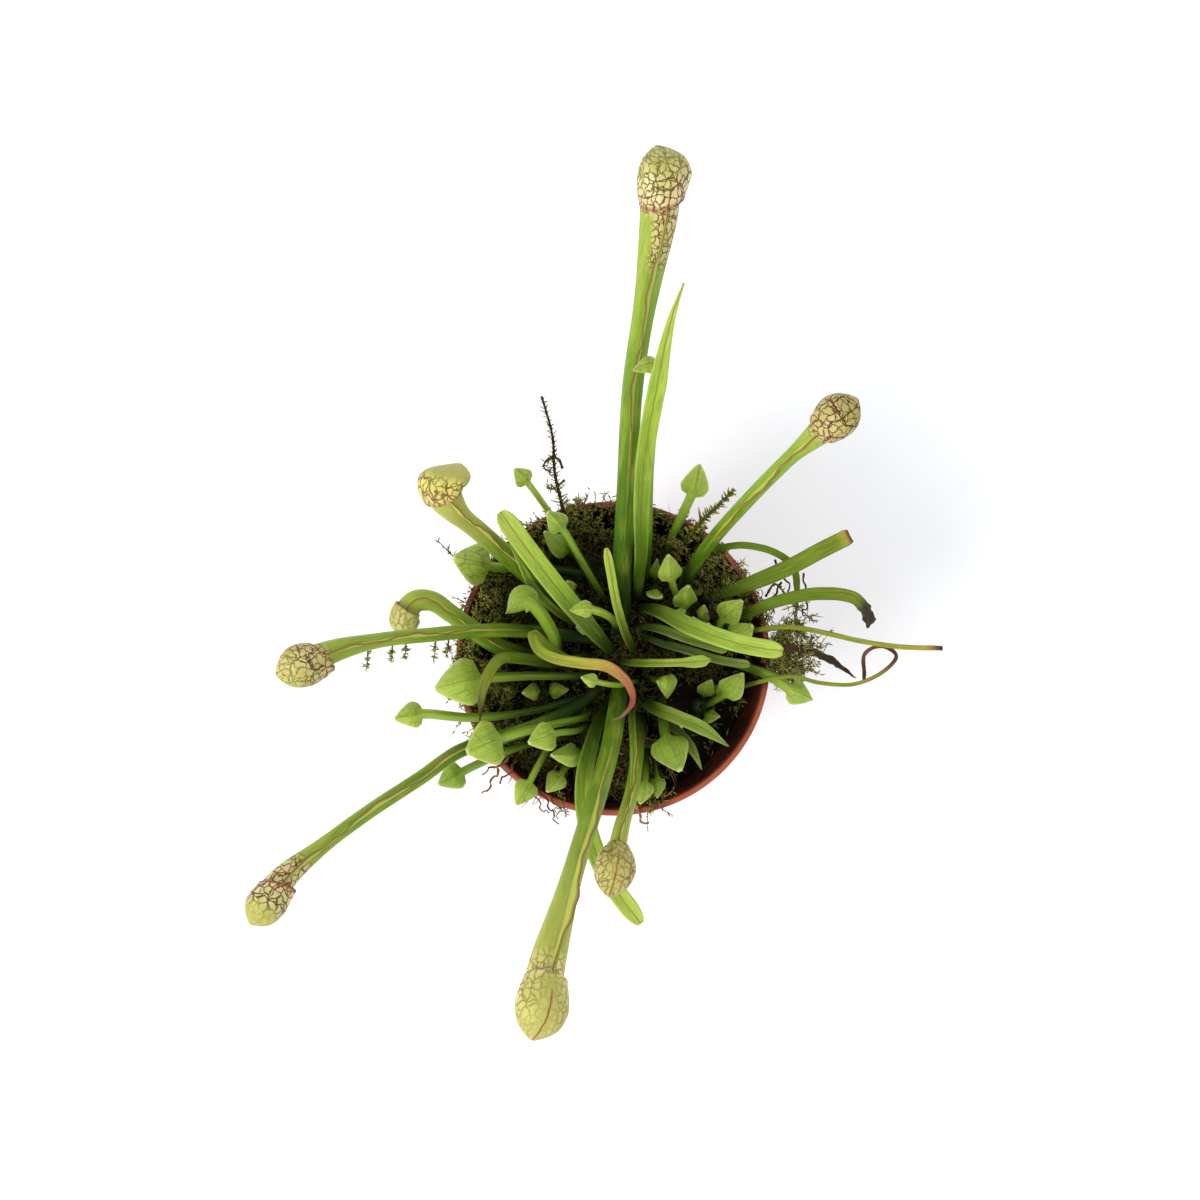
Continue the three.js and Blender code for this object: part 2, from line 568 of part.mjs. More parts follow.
// Little rosettes of young leaves, each grown from one crown: crown [x, y, radius].
const ROSETTES = {
  rosette_centre: {
    crown: [0.6, 8.2, 1.9],
    leaves: [
      {
        stalk: [1.8, 2.6], hood: [4.8, 4.8],
        path: [[1.2, 7.6, 66], [-1.7, 9.6, 86], [-5.6, 10.6, 94], [-9.8, 11, 97.5], [-14.2, 10.5, 98]],
      },
      {
        stalk: [1.2, 1.6], hood: [3.8, 4.2],
        path: [[-0.6, 8.6, 66], [-6.3, 7.9, 76], [-11.4, 7.7, 81.5]],
      },
    ],
  },
  rosette_north: {
    crown: [12.6, 20.8, 1.9],
    leaves: [
      { stalk: [1.4, 1.8], hood: [4.8, 5], path: [[12.2, 19.8, 66], [11, 18.6, 72], [13.4, 16.6, 77.5]] },
      { stalk: [1.6, 2], hood: [5, 3.2], path: [[12.6, 21.8, 66], [12, 24.4, 70.5], [12.4, 28.4, 74]] },
    ],
  },
  rosette_north_east: {
    crown: [21.2, 12.6, 3],
    leaves: [
      {
        stalk: [1.8, 2.4], hood: [6.6, 7],
        path: [[19.6, 13.6, 66], [17, 18.4, 78], [14.9, 22.2, 85], [13.8, 27.6, 89]],
      },
      { stalk: [1.8, 2.2], hood: [6.6, 7.2], path: [[21.4, 12.6, 66], [20, 15.4, 76], [20.4, 20, 81.5]] },
      { stalk: [1.4, 1.6], hood: [4, 4.4], path: [[22.8, 14.2, 66], [24, 19, 69], [25, 23.4, 70.5]] },
      { stalk: [1.4, 1.6], hood: [4.6, 5.2], path: [[20, 11.4, 66], [18.6, 12, 71.5], [20.6, 14.6, 75]] },
      { stalk: [1.4, 1.6], hood: [4.2, 4.8], path: [[23, 11.6, 66], [25.6, 11.8, 70], [26, 15.2, 73.5]] },
    ],
  },
  rosette_east: {
    crown: [29.6, 5.4, 2.4],
    leaves: [
      {
        stalk: [1.8, 2.8], hood: [6.6, 7.6],
        path: [[29.8, 6.2, 66], [29.4, 8, 74], [31, 11.1, 82], [35.2, 15.2, 86]],
      },
      { stalk: [1.2, 1.4], hood: [3.8, 4.2], path: [[28.4, 6.2, 66], [23.8, 7.9, 76], [21.9, 11, 79.5]] },
      { stalk: [1.2, 1.4], hood: [4.2, 4.6], path: [[29, 5, 66], [26.9, 5.6, 76], [26, 9.2, 81]] },
      { stalk: [1.8, 2.4], hood: [6.6, 8.2], path: [[30.6, 5, 66], [33.4, 4.9, 77], [38.6, 8.5, 83]] },
    ],
  },
  rosette_south_east: {
    crown: [25.6, -13.4, 2.6],
    leaves: [
      {
        stalk: [1.8, 2.4], hood: [6.8, 7.6],
        path: [[25.4, -14, 66], [27.6, -13, 76], [31.6, -9.9, 84], [35, -5.4, 87]],
      },
      {
        stalk: [1.4, 1.8], hood: [4.8, 5.2],
        path: [[26, -12.2, 66], [26.4, -9.8, 70], [28, -6.2, 73.5]],
      },
      { stalk: [1, 1.2], hood: [3.4, 3.4], path: [[27, -12.4, 66], [29.6, -10, 69], [32, -7, 71]] },
      {
        stalk: [1.2, 1.4], hood: [3.8, 4.4],
        path: [[26, -14.8, 66], [27.2, -16.4, 70], [30.4, -16.8, 72.5]],
      },
    ],
  },
  rosette_south: {
    crown: [10.4, -24.4, 1.9],
    leaves: [
      {
        stalk: [1.6, 2.2], hood: [5.2, 5.8],
        path: [[9.9, -25, 66], [9, -30.6, 73.5], [8, -36.2, 79], [6.6, -41.8, 80.5]],
      },
      {
        stalk: [1.4, 1.8], hood: [4.6, 4.6],
        path: [[10.9, -24.6, 66], [11.6, -30.4, 72], [12, -36, 76.5], [11.8, -40, 77]],
      },
    ],
  },
  rosette_south_west: {
    crown: [-8, -24.2, 2.1],
    leaves: [
      {
        stalk: [1.8, 2.4], hood: [5.2, 6.2],
        path: [[-9, -24.6, 66], [-11.9, -28.4, 71.5], [-15, -33, 75.5], [-19.4, -38.4, 77.5]],
      },
      {
        stalk: [1.8, 2.4], hood: [7.4, 6.8],
        path: [[-7.4, -24.2, 66], [-8.7, -26.4, 74], [-12.4, -28, 79.5], [-18.6, -28.2, 82.5]],
      },
    ],
  },
  rosette_west: {
    crown: [-19.6, -9.8, 2.2],
    leaves: [
      {
        stalk: [1.6, 1.8], hood: [4.8, 4.8],
        path: [[-18.4, -9.8, 66], [-17, -9.4, 68.5], [-12.8, -9.2, 70.5]],
      },
      {
        stalk: [1.4, 1.6], hood: [4.6, 5.2],
        path: [[-20.6, -9.8, 66], [-22, -9.8, 71], [-26.2, -10.4, 74]],
      },
      {
        stalk: [1.4, 1.6], hood: [4.6, 5],
        path: [[-20.4, -9.2, 66], [-27.6, -9.4, 68], [-33, -8.6, 70.5]],
      },
    ],
  },
  growing_leaves_east: {
    crown: [7.6, 8.4, 1.9],
    leaves: [
      {
        width: [1.8, 2.8], tip: "round",
        path: [[7.4, 9.2, 66], [11.6, 8.3, 75], [20.8, 4.6, 80.5], [31.3, 1.4, 81.5]],
      },
      {
        width: [1.8, 2.4], tip: "round",
        path: [[8.2, 7.6, 66], [12.6, 4.4, 73], [21.2, 1.5, 77.5], [30, -1.2, 78.5], [38.4, -2.3, 77.5]],
      },
    ],
  },
};

// The folded arrowhead hood, from the stalk to the point. Its two back corners reach down and
// back past the stalk's end, and its ridge runs forward to the point. Sections hold
// [share of hood length for the ridge, and for the eaves, half width, ridge height, eave depth].
const HOOD_ROWS = [
  [0, -0.2, 0.8, 0.14, 0.12],
  [0.22, 0.08, 1, 0.2, 0.18],
  [0.66, 0.6, 0.6, 0.15, 0.1],
  [1, 1, 0.1, 0.03, 0.02],
];

function youngPitcher({ stalk, hood, path }, rooted = true) {
  const curve = spineOf(path, rooted);
  const [hoodLength, hoodWidth] = hood;
  const [root, top] = stalk;
  const stalkEnd = curve.span - hoodLength;
  const rings = [];
  for (const distance of stationsTo(stalkEnd - 0.3 * hoodLength, 12, 2, rooted ? 6.5 : 0)) {
    const share = distance / stalkEnd;
    const frame = frameAt(curve, distance);
    const half = mix(root, top, smooth(0.1, 1, share)) / 2;
    const keel = half * (0.95 + 0.5 * smooth(0.2, 0.7, share));
    rings.push([
      at(frame, -0.85 * half, 0.3 * half),
      at(frame, 0, keel),
      at(frame, 0.85 * half, 0.3 * half),
      at(frame, 0.8 * half, -0.6 * half),
      at(frame, 0, -0.95 * half),
      at(frame, -0.8 * half, -0.6 * half),
    ]);
  }
  for (const [ridgeShare, eaveShare, wide, ridge, eave] of HOOD_ROWS) {
    const frame = frameAt(curve, stalkEnd + ridgeShare * hoodLength);
    const [half, back] = [(wide * hoodWidth) / 2, (eaveShare - ridgeShare) * hoodLength];
    const peak = top / 2 + ridge * hoodWidth;
    const low = top / 4 - eave * hoodWidth * 0.5;
    const under = Math.min(peak - 1.1, 0.5 * peak - 0.2, low - EDGE_THICKNESS + 3 * wide);
    rings.push([
      at(frame, -half, low, back),
      at(frame, 0, peak),
      at(frame, half, low, back),
      at(frame, 0.86 * half, low - EDGE_THICKNESS, back + 0.2),
      at(frame, 0, under, 0.3),
      at(frame, -0.86 * half, low - EDGE_THICKNESS, back + 0.2),
    ]);
  }
  return solid(loft(rings));
}

// A rosette's crown stands in the peat, and its leaves start inside the crown's domed top. The
// hole for it is the same shape grown by the play, and open above.
function crownStub([x, y, radius], play) {
  const top = play ? [radius + 4 * play, HOLE_TOP] : [0.55 * radius, ROOT_Z + 8];
  const profile = [
    [0, ROOT_Z - play],
    [0.6 * radius + play, ROOT_Z - play],
    [radius + 2.5 * play, ROOT_Z + 6.5],
    top,
    [0, top[1]],
  ];
  return solid(lathe(profile, 7).translate(x, y, 0));
}

function rosette({ crown, leaves }) {
  holes.push(crownStub(crown, HOLE_PLAY));
  const grown = leaves.map((leaf) => (leaf.hood ? youngPitcher(leaf, false) : blade(leaf, false)));
  return join([crownStub(crown, 0), ...grown]);
}

// ---------------------------------------------------------------- pot, peat and rhizome
const rimRadius = RIM_DIAMETER / 2;
const footRadius = FOOT_DIAMETER / 2;

// The pot's outside below its collar, and its inside, are straight tapers.
const outsideAt = (z) => mix(footRadius, rimRadius - COLLAR_STEP, z / POT_HEIGHT);
const insideAt = (z) => outsideAt(z) - POT_WALL;

function lathe(profile, segments) {
  const points = profile.map(([r, z]) => new THREE.Vector2(r, z));
  return new THREE.LatheGeometry(points, segments).rotateX(Math.PI / 2);
}

function pot() {
  const collarFoot = POT_HEIGHT - COLLAR_HEIGHT;
  const lip = 0.9;
  const profile = [
    [0, 0],
    [footRadius - 1, 0],
    [footRadius, 1],
    [outsideAt(collarFoot - 1), collarFoot - 1],
    [rimRadius - 1.1, collarFoot],
    [rimRadius, POT_HEIGHT - 2],
    [rimRadius - 0.3, POT_HEIGHT - 0.4],
    [rimRadius - lip, POT_HEIGHT],
    [insideAt(POT_HEIGHT) + 0.9, POT_HEIGHT - 0.6],
    [insideAt(POT_HEIGHT - 3), POT_HEIGHT - 3],
    [insideAt(collarFoot), collarFoot],
    [insideAt(POT_FLOOR), POT_FLOOR],
    [0, POT_FLOOR],
  ];
  let body = solid(lathe(profile, 36));
  for (let i = 0; i < DRAIN_HOLES; i++) {
    const angle = (2 * Math.PI * (i + 0.5)) / DRAIN_HOLES;
    const [x, y] = [(DRAIN_CIRCLE / 2) * Math.cos(angle), (DRAIN_CIRCLE / 2) * Math.sin(angle)];
    const hole = new THREE.CylinderGeometry(DRAIN_DIAMETER / 2, DRAIN_DIAMETER / 2, 6, 12);
    hole.rotateX(Math.PI / 2).translate(x, y, 1);
    body = body.subtract(solid(hole));
  }
  return body;
}

// The peat's top: a low mound round the crown with lumps that fade out at the wall.
function peatTop(x, y) {
  const r = Math.hypot(x, y) / rimRadius;
  const mound = PEAT_MOUND * (1 - smooth(0.25, 0.95, r));
  const lumps = Math.sin(0.31 * x + 0.6) * Math.cos(0.27 * y) + 0.5 * Math.sin(0.23 * x - 0.41 * y);
  return PEAT_EDGE + mound + 0.7 * lumps * (1 - smooth(0.75, 0.98, r));
}

function peat() {
  const segments = 28;
  const side = insideAt(PEAT_EDGE) - GAP;
  const rings = [];
  const ringAt = (radius, height) =>
    Array.from({ length: segments }, (_, j) => {
      const angle = (2 * Math.PI * j) / segments;
      const [x, y] = [radius * Math.cos(angle), radius * Math.sin(angle)];
      return new THREE.Vector3(x, y, height ?? peatTop(x, y));
    });
  const floor = POT_FLOOR + GAP;
  rings.push(ringAt(1, floor), ringAt(insideAt(floor) - GAP, floor));
  for (const radius of [side, 0.8 * side, 0.52 * side, 0.24 * side]) {
    rings.push(ringAt(radius));
  }
  return solid(loft(rings));
}

// The rhizome: a short knobbly stem lying in the peat, with roots that run down and outwards.
function rhizome(grow) {
  const [cx, cy, cz] = RHIZOME_CENTRE;
  const [hx, hy, hz] = RHIZOME_HALF;
  const lump = new THREE.IcosahedronGeometry(1, 2);
  const places = lump.getAttribute("position");
  for (let i = 0; i < places.count; i++) {
    const p = new THREE.Vector3().fromBufferAttribute(places, i);
    const slow = 0.07 * Math.sin(5 * p.x + 1) * Math.cos(6 * p.y);
    const knob = 1 + slow + 0.05 * Math.sin(9 * p.y + 4 * p.z);
    const flat = Math.sign(p.z) * Math.abs(p.z) ** 0.8;
    const [x, y] = [(hx * knob + grow) * p.x, (hy * knob + grow) * p.y];
    places.setXYZ(i, cx + x, cy + y, cz + (hz + grow) * flat);
  }
  const bodies = [solid(lump)];
  for (let i = 0; i < 7; i++) {
    const angle = 0.4 + i * 2.4;
    const reach = 11 + 2.2 * (i % 4);
    const depth = 26 + 5 * (i % 3);
    const [dx, dy] = [Math.cos(angle), Math.sin(angle)];
    const path = [
      new THREE.Vector3(cx + 8 * dx, cy + 5 * dy, cz),
      new THREE.Vector3(cx + (8 + 0.5 * reach) * dx, cy + (5 + 0.5 * reach) * dy, cz - 0.45 * depth),
      new THREE.Vector3(cx + (8 + 0.4 * reach) * dx, cy + (5 + 0.55 * reach) * dy, cz - depth),
    ];
    const curve = spineThrough(path, new THREE.Vector3(dx, dy, 0), 400);
    const rings = [0, 0.5, 1].map((share) => {
      const frame = frameAt(curve, share * curve.span);
      const radius = mix(1.3, 0.6, share) + grow;
      return ellipse({ ...frame, place: at(frame, 0, 0, share === 1 ? grow : 0) }, radius, radius, 4);
    });
    bodies.push(solid(loft(rings)));
  }
  return join(bodies);
}

// ---------------------------------------------------------------- moss that stands clear of the peat
// Leafy sprigs: a thin stem with short pointed leaves set round it by the golden angle.
const SPRIGS = {
  moss_sprig_north_west: {
    stem: [1.5, 0.8],
    leaf: 2,
    step: 4,
    path: [
      [-13.2, 34.4, 67.5], [-14, 38.4, 75.5], [-16, 44.5, 81.5], [-17.8, 51, 86],
      [-18.7, 60, 91], [-21.9, 70.5, 95],
    ],
  },
  moss_sprig_north_east: {
    stem: [2, 1],
    leaf: 2.4,
    step: 4,
    path: [[18.6, 31.6, 67.5], [21.4, 35, 76], [25.6, 39.4, 80], [29.4, 43.2, 81.4], [33.8, 47.6, 81.5]],
  },
};

function sprig({ stem, leaf, step, path }) {
  const curve = spineOf(path);
  const stations = Math.round(curve.span / 9);
  const rings = Array.from({ length: stations + 1 }, (_, i) => {
    const half = mix(stem[0], stem[1], i / stations) / 2;
    return ellipse(frameAt(curve, (i / stations) * curve.span), half, half, 5);
  });
  const bodies = [solid(loft(rings))];
  const start = 12;
  for (let i = 0; start + i * step < curve.span - 1; i++) {
    const frame = frameAt(curve, start + i * step, 2.4 * i);
    const reach = leaf * mix(1, 0.6, (start + i * step) / curve.span);
    const blunt = new THREE.ConeGeometry(0.5, reach + 0.5, 3).translate(0, (reach + 0.5) / 2 - 0.3, 0);
    const out = frame.up.clone().multiplyScalar(0.8).addScaledVector(frame.forward, 0.6).normalize();
    blunt.applyQuaternion(new THREE.Quaternion().setFromUnitVectors(new THREE.Vector3(0, 1, 0), out));
    bodies.push(solid(blunt.translate(...frame.place.toArray())));
  }
  holes.push(holeAt(path[0], stem[0] + 0.6));
  return join(bodies);
}

// ---------------------------------------------------------------- the plant in its pot
const finish = (color, roughness) => new THREE.MeshStandardMaterial({ color, roughness, metalness: 0 });
const TERRACOTTA = finish(0xa9553d, 0.5);
const PEAT = finish(0x2b2016, 0.95);
const RHIZOME = finish(0x7a5a3c, 0.8);
const GREEN = finish(0x6f9630, 0.5);
const YOUNG_GREEN = finish(0xa6c44e, 0.5);
const WITHERED = finish(0x8a7a45, 0.7);
const MOSS = finish(0x6d6a2c, 0.9);

const group = new THREE.Group();

function place(name, body, material) {
  const mesh = new THREE.Mesh(geometryOf(body), material);
  mesh.name = name;
  group.add(mesh);
}

for (const [name, form] of Object.entries(PITCHERS)) place(name, pitcher(form), GREEN);
for (const [name, form] of Object.entries(BLADES)) {
  holes.push(holeAt(form.path[0], Math.max(form.width[0], 1.8)));
  place(name, blade(form), form.dry ? WITHERED : GREEN);
}
for (const [name, form] of Object.entries(YOUNG)) {
  holes.push(holeAt(form.path[0], form.stalk[0]));
  place(name, youngPitcher(form), YOUNG_GREEN);
}
for (const [name, form] of Object.entries(ROSETTES)) place(name, rosette(form), YOUNG_GREEN);
for (const [name, form] of Object.entries(SPRIGS)) place(name, sprig(form), MOSS);

const allHoles = join(holes);
place("rhizome", rhizome(0).subtract(allHoles), RHIZOME);
place("peat", peat().subtract(rhizome(GAP)).subtract(allHoles), PEAT);
place("pot", pot(), TERRACOTTA);

export default group;
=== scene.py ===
"""A young hooded pitcher plant in a round nursery pot, dressed for its picture.

Lengths are millimetres and are made metres when a mesh is finished. A leaf is a closed skin of
sections carried along a smooth spine that rises from its hole in the peat.
"""

from collections import namedtuple

import bpy
import numpy as np
from mathutils import Matrix, Vector
from mathutils.geometry import delaunay_2d_cdt


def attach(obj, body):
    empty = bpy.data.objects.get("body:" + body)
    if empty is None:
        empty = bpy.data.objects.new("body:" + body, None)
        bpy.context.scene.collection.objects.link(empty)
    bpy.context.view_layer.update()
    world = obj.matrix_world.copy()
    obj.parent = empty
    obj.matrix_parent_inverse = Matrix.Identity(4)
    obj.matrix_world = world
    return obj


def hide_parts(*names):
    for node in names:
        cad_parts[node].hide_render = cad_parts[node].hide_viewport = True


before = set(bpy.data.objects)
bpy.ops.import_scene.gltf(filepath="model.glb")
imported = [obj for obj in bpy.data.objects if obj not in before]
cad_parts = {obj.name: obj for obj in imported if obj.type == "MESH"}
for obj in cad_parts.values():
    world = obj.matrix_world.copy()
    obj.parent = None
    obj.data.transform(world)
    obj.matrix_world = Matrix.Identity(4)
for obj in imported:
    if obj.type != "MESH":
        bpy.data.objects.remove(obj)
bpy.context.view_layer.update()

# Sizes shared with the solids.
RIM_RADIUS = 45.0
POT_HEIGHT = 75.0
FOOT_RADIUS = 31.0
POT_WALL = 1.3
POT_FLOOR = 2.0
COLLAR_HEIGHT = 12.0
COLLAR_STEP = 1.6
DRAIN_HOLES = 8
DRAIN_RADIUS = 3.0
DRAIN_CIRCLE_RADIUS = 23.0
GAP = 0.3
PEAT_EDGE = 64.5
PEAT_MOUND = 2.6
ROOT_Z = 60.0
EDGE = 0.6
TAU = 2 * np.pi
Z_AXIS = np.array([0, 0, 1])
METRE = 0.001

# Of a grown pitcher: the tube's height over its width, the share of the colours along the leaf
# that the tube takes, the hood's wall and the roll of its lip.
TUBE_HEIGHT = 0.9
TUBE_SHARE = 0.8
HOOD_WALL = 0.75
LIP_ROLL = 0.14

# Painted crown shade: gone at the first height and distance from the axis, full at the second.
SHADE_Z = (96, 67)
SHADE_RADIUS = (46, 30)

# Grown pitchers. tube: widths at root, waist and mouth, and where it starts to flare; hood: length,
# width, share of that width at the mouth, slant of its margin and turn of its tip; crest: height and
# lean; twist; then the spine from the peat to the hood's far end.
PITCHERS = {
    "pitcher_north": ((4, 5.6, 10.2, 0.7), (12.4, 13.6, 0.8, 0.25), (1.7, -1), 0.35, [(3.2, 12.8, 67.5),
        (1.6, 24, 82), (1.2, 43.5, 101), (0.9, 67.5, 122), (3.3, 92, 145), (4.2, 103.5, 156.5),
        (3.3, 116, 165.2)]),
    "pitcher_north_east": ((3.4, 3.8, 7.4, 0.8), (10.6, 11, 0.8, 0), (1.3, 0.6), 0, [(19.5, 18.6, 67.5),
        (21.3, 24, 78), (25.2, 30.5, 96), (31.7, 38, 118), (39.3, 45.5, 138), (45.5, 50.5, 150),
        (52, 56, 158.5)]),
    "pitcher_west": ((3.4, 3.8, 6.8, 0.76), (11.2, 11, 0.82, 0.45), (1.5, 0.3), -0.25, [(-4, 5.6, 67.5),
        (-14, 6, 75), (-24.5, 6.2, 83.5), (-38.5, 5, 96.5), (-52, 2.4, 110), (-64, -0.2, 122),
        (-75, -3.9, 131.5), (-88, -10.5, 139.2)]),
    "pitcher_south_west": ((3.2, 3.8, 7.4, 0.8), (10.4, 9.8, 0.86, 0.4), (1.5, 0.7), -0.3, [
        (-4.2, -8.8, 67.5), (-10.4, -13.8, 74), (-20, -18.9, 81), (-32.7, -23.7, 88),
        (-43.6, -27.5, 95), (-54, -35, 104), (-66.3, -43.5, 115), (-78.2, -52.8, 126),
        (-86.6, -60.4, 133), (-93, -70.3, 138.5)]),
    "pitcher_south": ((4.2, 5.2, 9.2, 0.68), (13.4, 12.6, 0.8, 0), (1.7, -0.8), -0.25, [
        (2.2, -4.8, 67.5), (0.2, -14, 82), (-3.3, -27, 99), (-8, -39.5, 115), (-13.5, -53, 131),
        (-18.7, -67, 146), (-22.9, -79.5, 157), (-26.2, -94.8, 164)]),
    "pitcher_north_west": ((3.6, 5.4, 10.4, 0.76), (8, 12.8, 0.86, 0.1, 4), (1.2, 0.4), 0, [
        (-11.8, 13.3, 67.5), (-20, 18.8, 76), (-29.7, 25.6, 88), (-38.7, 31.3, 101), (-46, 36, 112),
        (-49.2, 41, 117.5), (-48.4, 46.6, 120.4)]),
    "pitcher_west_drooping": ((3.6, 5, 6.4, 0.7), (6.6, 8.2, 0.9, 0), (1, -0.5), 0, [
        (-18.5, -1.5, 67.5), (-25, 0, 74), (-32.8, 2, 81), (-41, 6.6, 88.3), (-46.6, 10, 94.2),
        (-51.6, 12.8, 98), (-56, 12.4, 99.5), (-58.5, 9.2, 98.5), (-58.7, 5.4, 95.4)]),
    "pitcher_south_short": ((3, 3.8, 4.8, 0.7), (13, 10.8, 0.54, 0), (1, 0.4), 0, [(7.7, -17, 67.5),
        (6.2, -25, 79), (3, -38, 95), (-1.3, -49, 108), (-5, -65.3, 116)]),
}

# Blades: width at the root and at the widest, tip, spine.
BLADES = {
    "growing_leaf_north": (2.8, 4.6, "pointed", [(7, 17.4, 67.5), (6, 27, 90), (4.1, 39, 111),
        (3.8, 50.5, 127), (5.2, 62.5, 139.5), (7.6, 77, 151), (10.2, 85, 156)]),
    "growing_leaf_north_west": (2.4, 5.6, "round", [(0.4, 1.4, 67.5), (-5, 5, 80), (-12.3, 11.6, 90),
        (-20, 19.4, 98), (-28, 29, 103), (-33.4, 36.2, 105)]),
    "thin_leaf_north_west": (1.8, 2.2, "pointed", [(-7.7, 9, 67.5), (-16.4, 12, 79),
        (-23.6, 17.6, 88.5), (-27.8, 24, 95), (-30.6, 28.4, 99)]),
    "growing_leaf_upright": (2, 2.4, "round", [(6.3, 1.4, 67.5), (2, 6.2, 84), (-1.5, 13, 97),
        (-3.7, 21, 104), (-5, 26.4, 107)]),
    "growing_leaf_east": (2.2, 5, "round", [(8, 15, 67.5), (12.5, 12.3, 80), (20.4, 7, 89),
        (31.5, 2.3, 95), (44.4, -0.3, 97)]),
    "bulb_leaf_east": (1.7, 2.2, "bulb", [(2.2, -0.8, 67.5), (5.6, -2.2, 80), (13, -2.8, 88),
        (21, -2.7, 91), (25.2, -2.2, 92)]),
    "leaf_south_east": (2.4, 3.8, "pointed", [(9.2, -12, 67.5), (10.3, -14.5, 78), (15.6, -17.4, 86),
        (23, -20.8, 88), (31, -25.6, 84)]),
    "leaf_south_east_low": (2, 2.8, "pointed", [(12.4, -16.3, 67.5), (15.5, -18.4, 71),
        (19.5, -23, 75.5), (22, -27, 77.5), (24.3, -32, 78)]),
    "thin_leaf_south": (1.6, 1.9, "pointed", [(5.4, -11, 67.5), (4, -19.8, 84), (3, -28.6, 98),
        (1.7, -37.5, 106)]),
    "long_leaf_south": (2.6, 5, "round", [(-2.2, -12.8, 67.5), (-6.3, -22.5, 80), (-9.8, -35, 91),
        (-9.4, -47.3, 98), (-4.7, -60.4, 102), (4.4, -73, 104)]),
    "curled_leaf": (2, 3, "pointed", [(-7, 0.8, 67.5), (-14, -1.5, 84), (-21, 1.5, 96),
        (-24.2, 3.6, 100.5), (-23, -0.5, 104), (-19, -3.2, 107), (-12, -4.7, 109), (-4.7, -5.7, 109),
        (0.8, -10, 107), (2.3, -14.6, 103.5), (-0.2, -18.2, 101), (-2.7, -19.4, 99)]),
    "withered_leaf_west": (2.4, 3.2, "pointed", [(-11.8, -1.6, 67.5), (-18.6, -2.2, 79),
        (-26.8, -1.9, 88), (-33, -2.6, 94), (-36.8, -8.4, 97), (-38, -14.2, 94), (-38.2, -18.8, 89)]),
    "withered_leaf_north_east": (1.8, 2, "pointed", [(24.4, 27.6, 67.5), (28.4, 30.6, 76),
        (36.3, 31, 84), (44.5, 28.7, 86), (49.8, 25.4, 83), (52.5, 19.5, 76), (53.6, 12.2, 68)]),
    "cut_leaf_east": (2.2, 4.6, "cut", [(27.2, 17.7, 67.5), (31.2, 18.5, 73), (38, 20.4, 81),
        (48, 24.2, 90), (55.7, 28.2, 94), (64.2, 32.5, 94)]),
    "bent_leaf_east": (2.4, 3.6, "cut", [(33.5, 11.3, 67.5), (36.5, 11.6, 78), (44, 14.5, 88),
        (55, 16.6, 90), (65.7, 16.4, 86), (70.8, 14, 80), (74.6, 10.2, 72)]),
    "long_withered_leaf_east": (1.4, 1.4, "cut", [(36, 7.6, 67.5), (40, 7.6, 78), (49, 8, 83),
        (57.4, 6.6, 84), (69, 4.2, 83), (80.8, 2.7, 82), (93.5, 2.6, 80)]),
    "looped_leaf_east": (1.2, 1.1, "cut", [(36, -8.8, 67.5), (39.2, -7.7, 80), (48.2, -6.1, 85),
        (58.4, -7.7, 81), (68.7, -7.6, 78), (77.2, -3.8, 77), (81, 0.6, 76.5), (77, 3.4, 76),
        (72.6, 1.6, 74), (73, -5.9, 70)]),
    "dead_leaf_east": (1.6, 2.2, "pointed", [(36.4, 2.6, 67.5), (40, 2.2, 75), (45.5, 2.2, 78.5),
        (53, 2.2, 77.5), (62.1, 0, 72), (71.7, -5, 65)]),
}

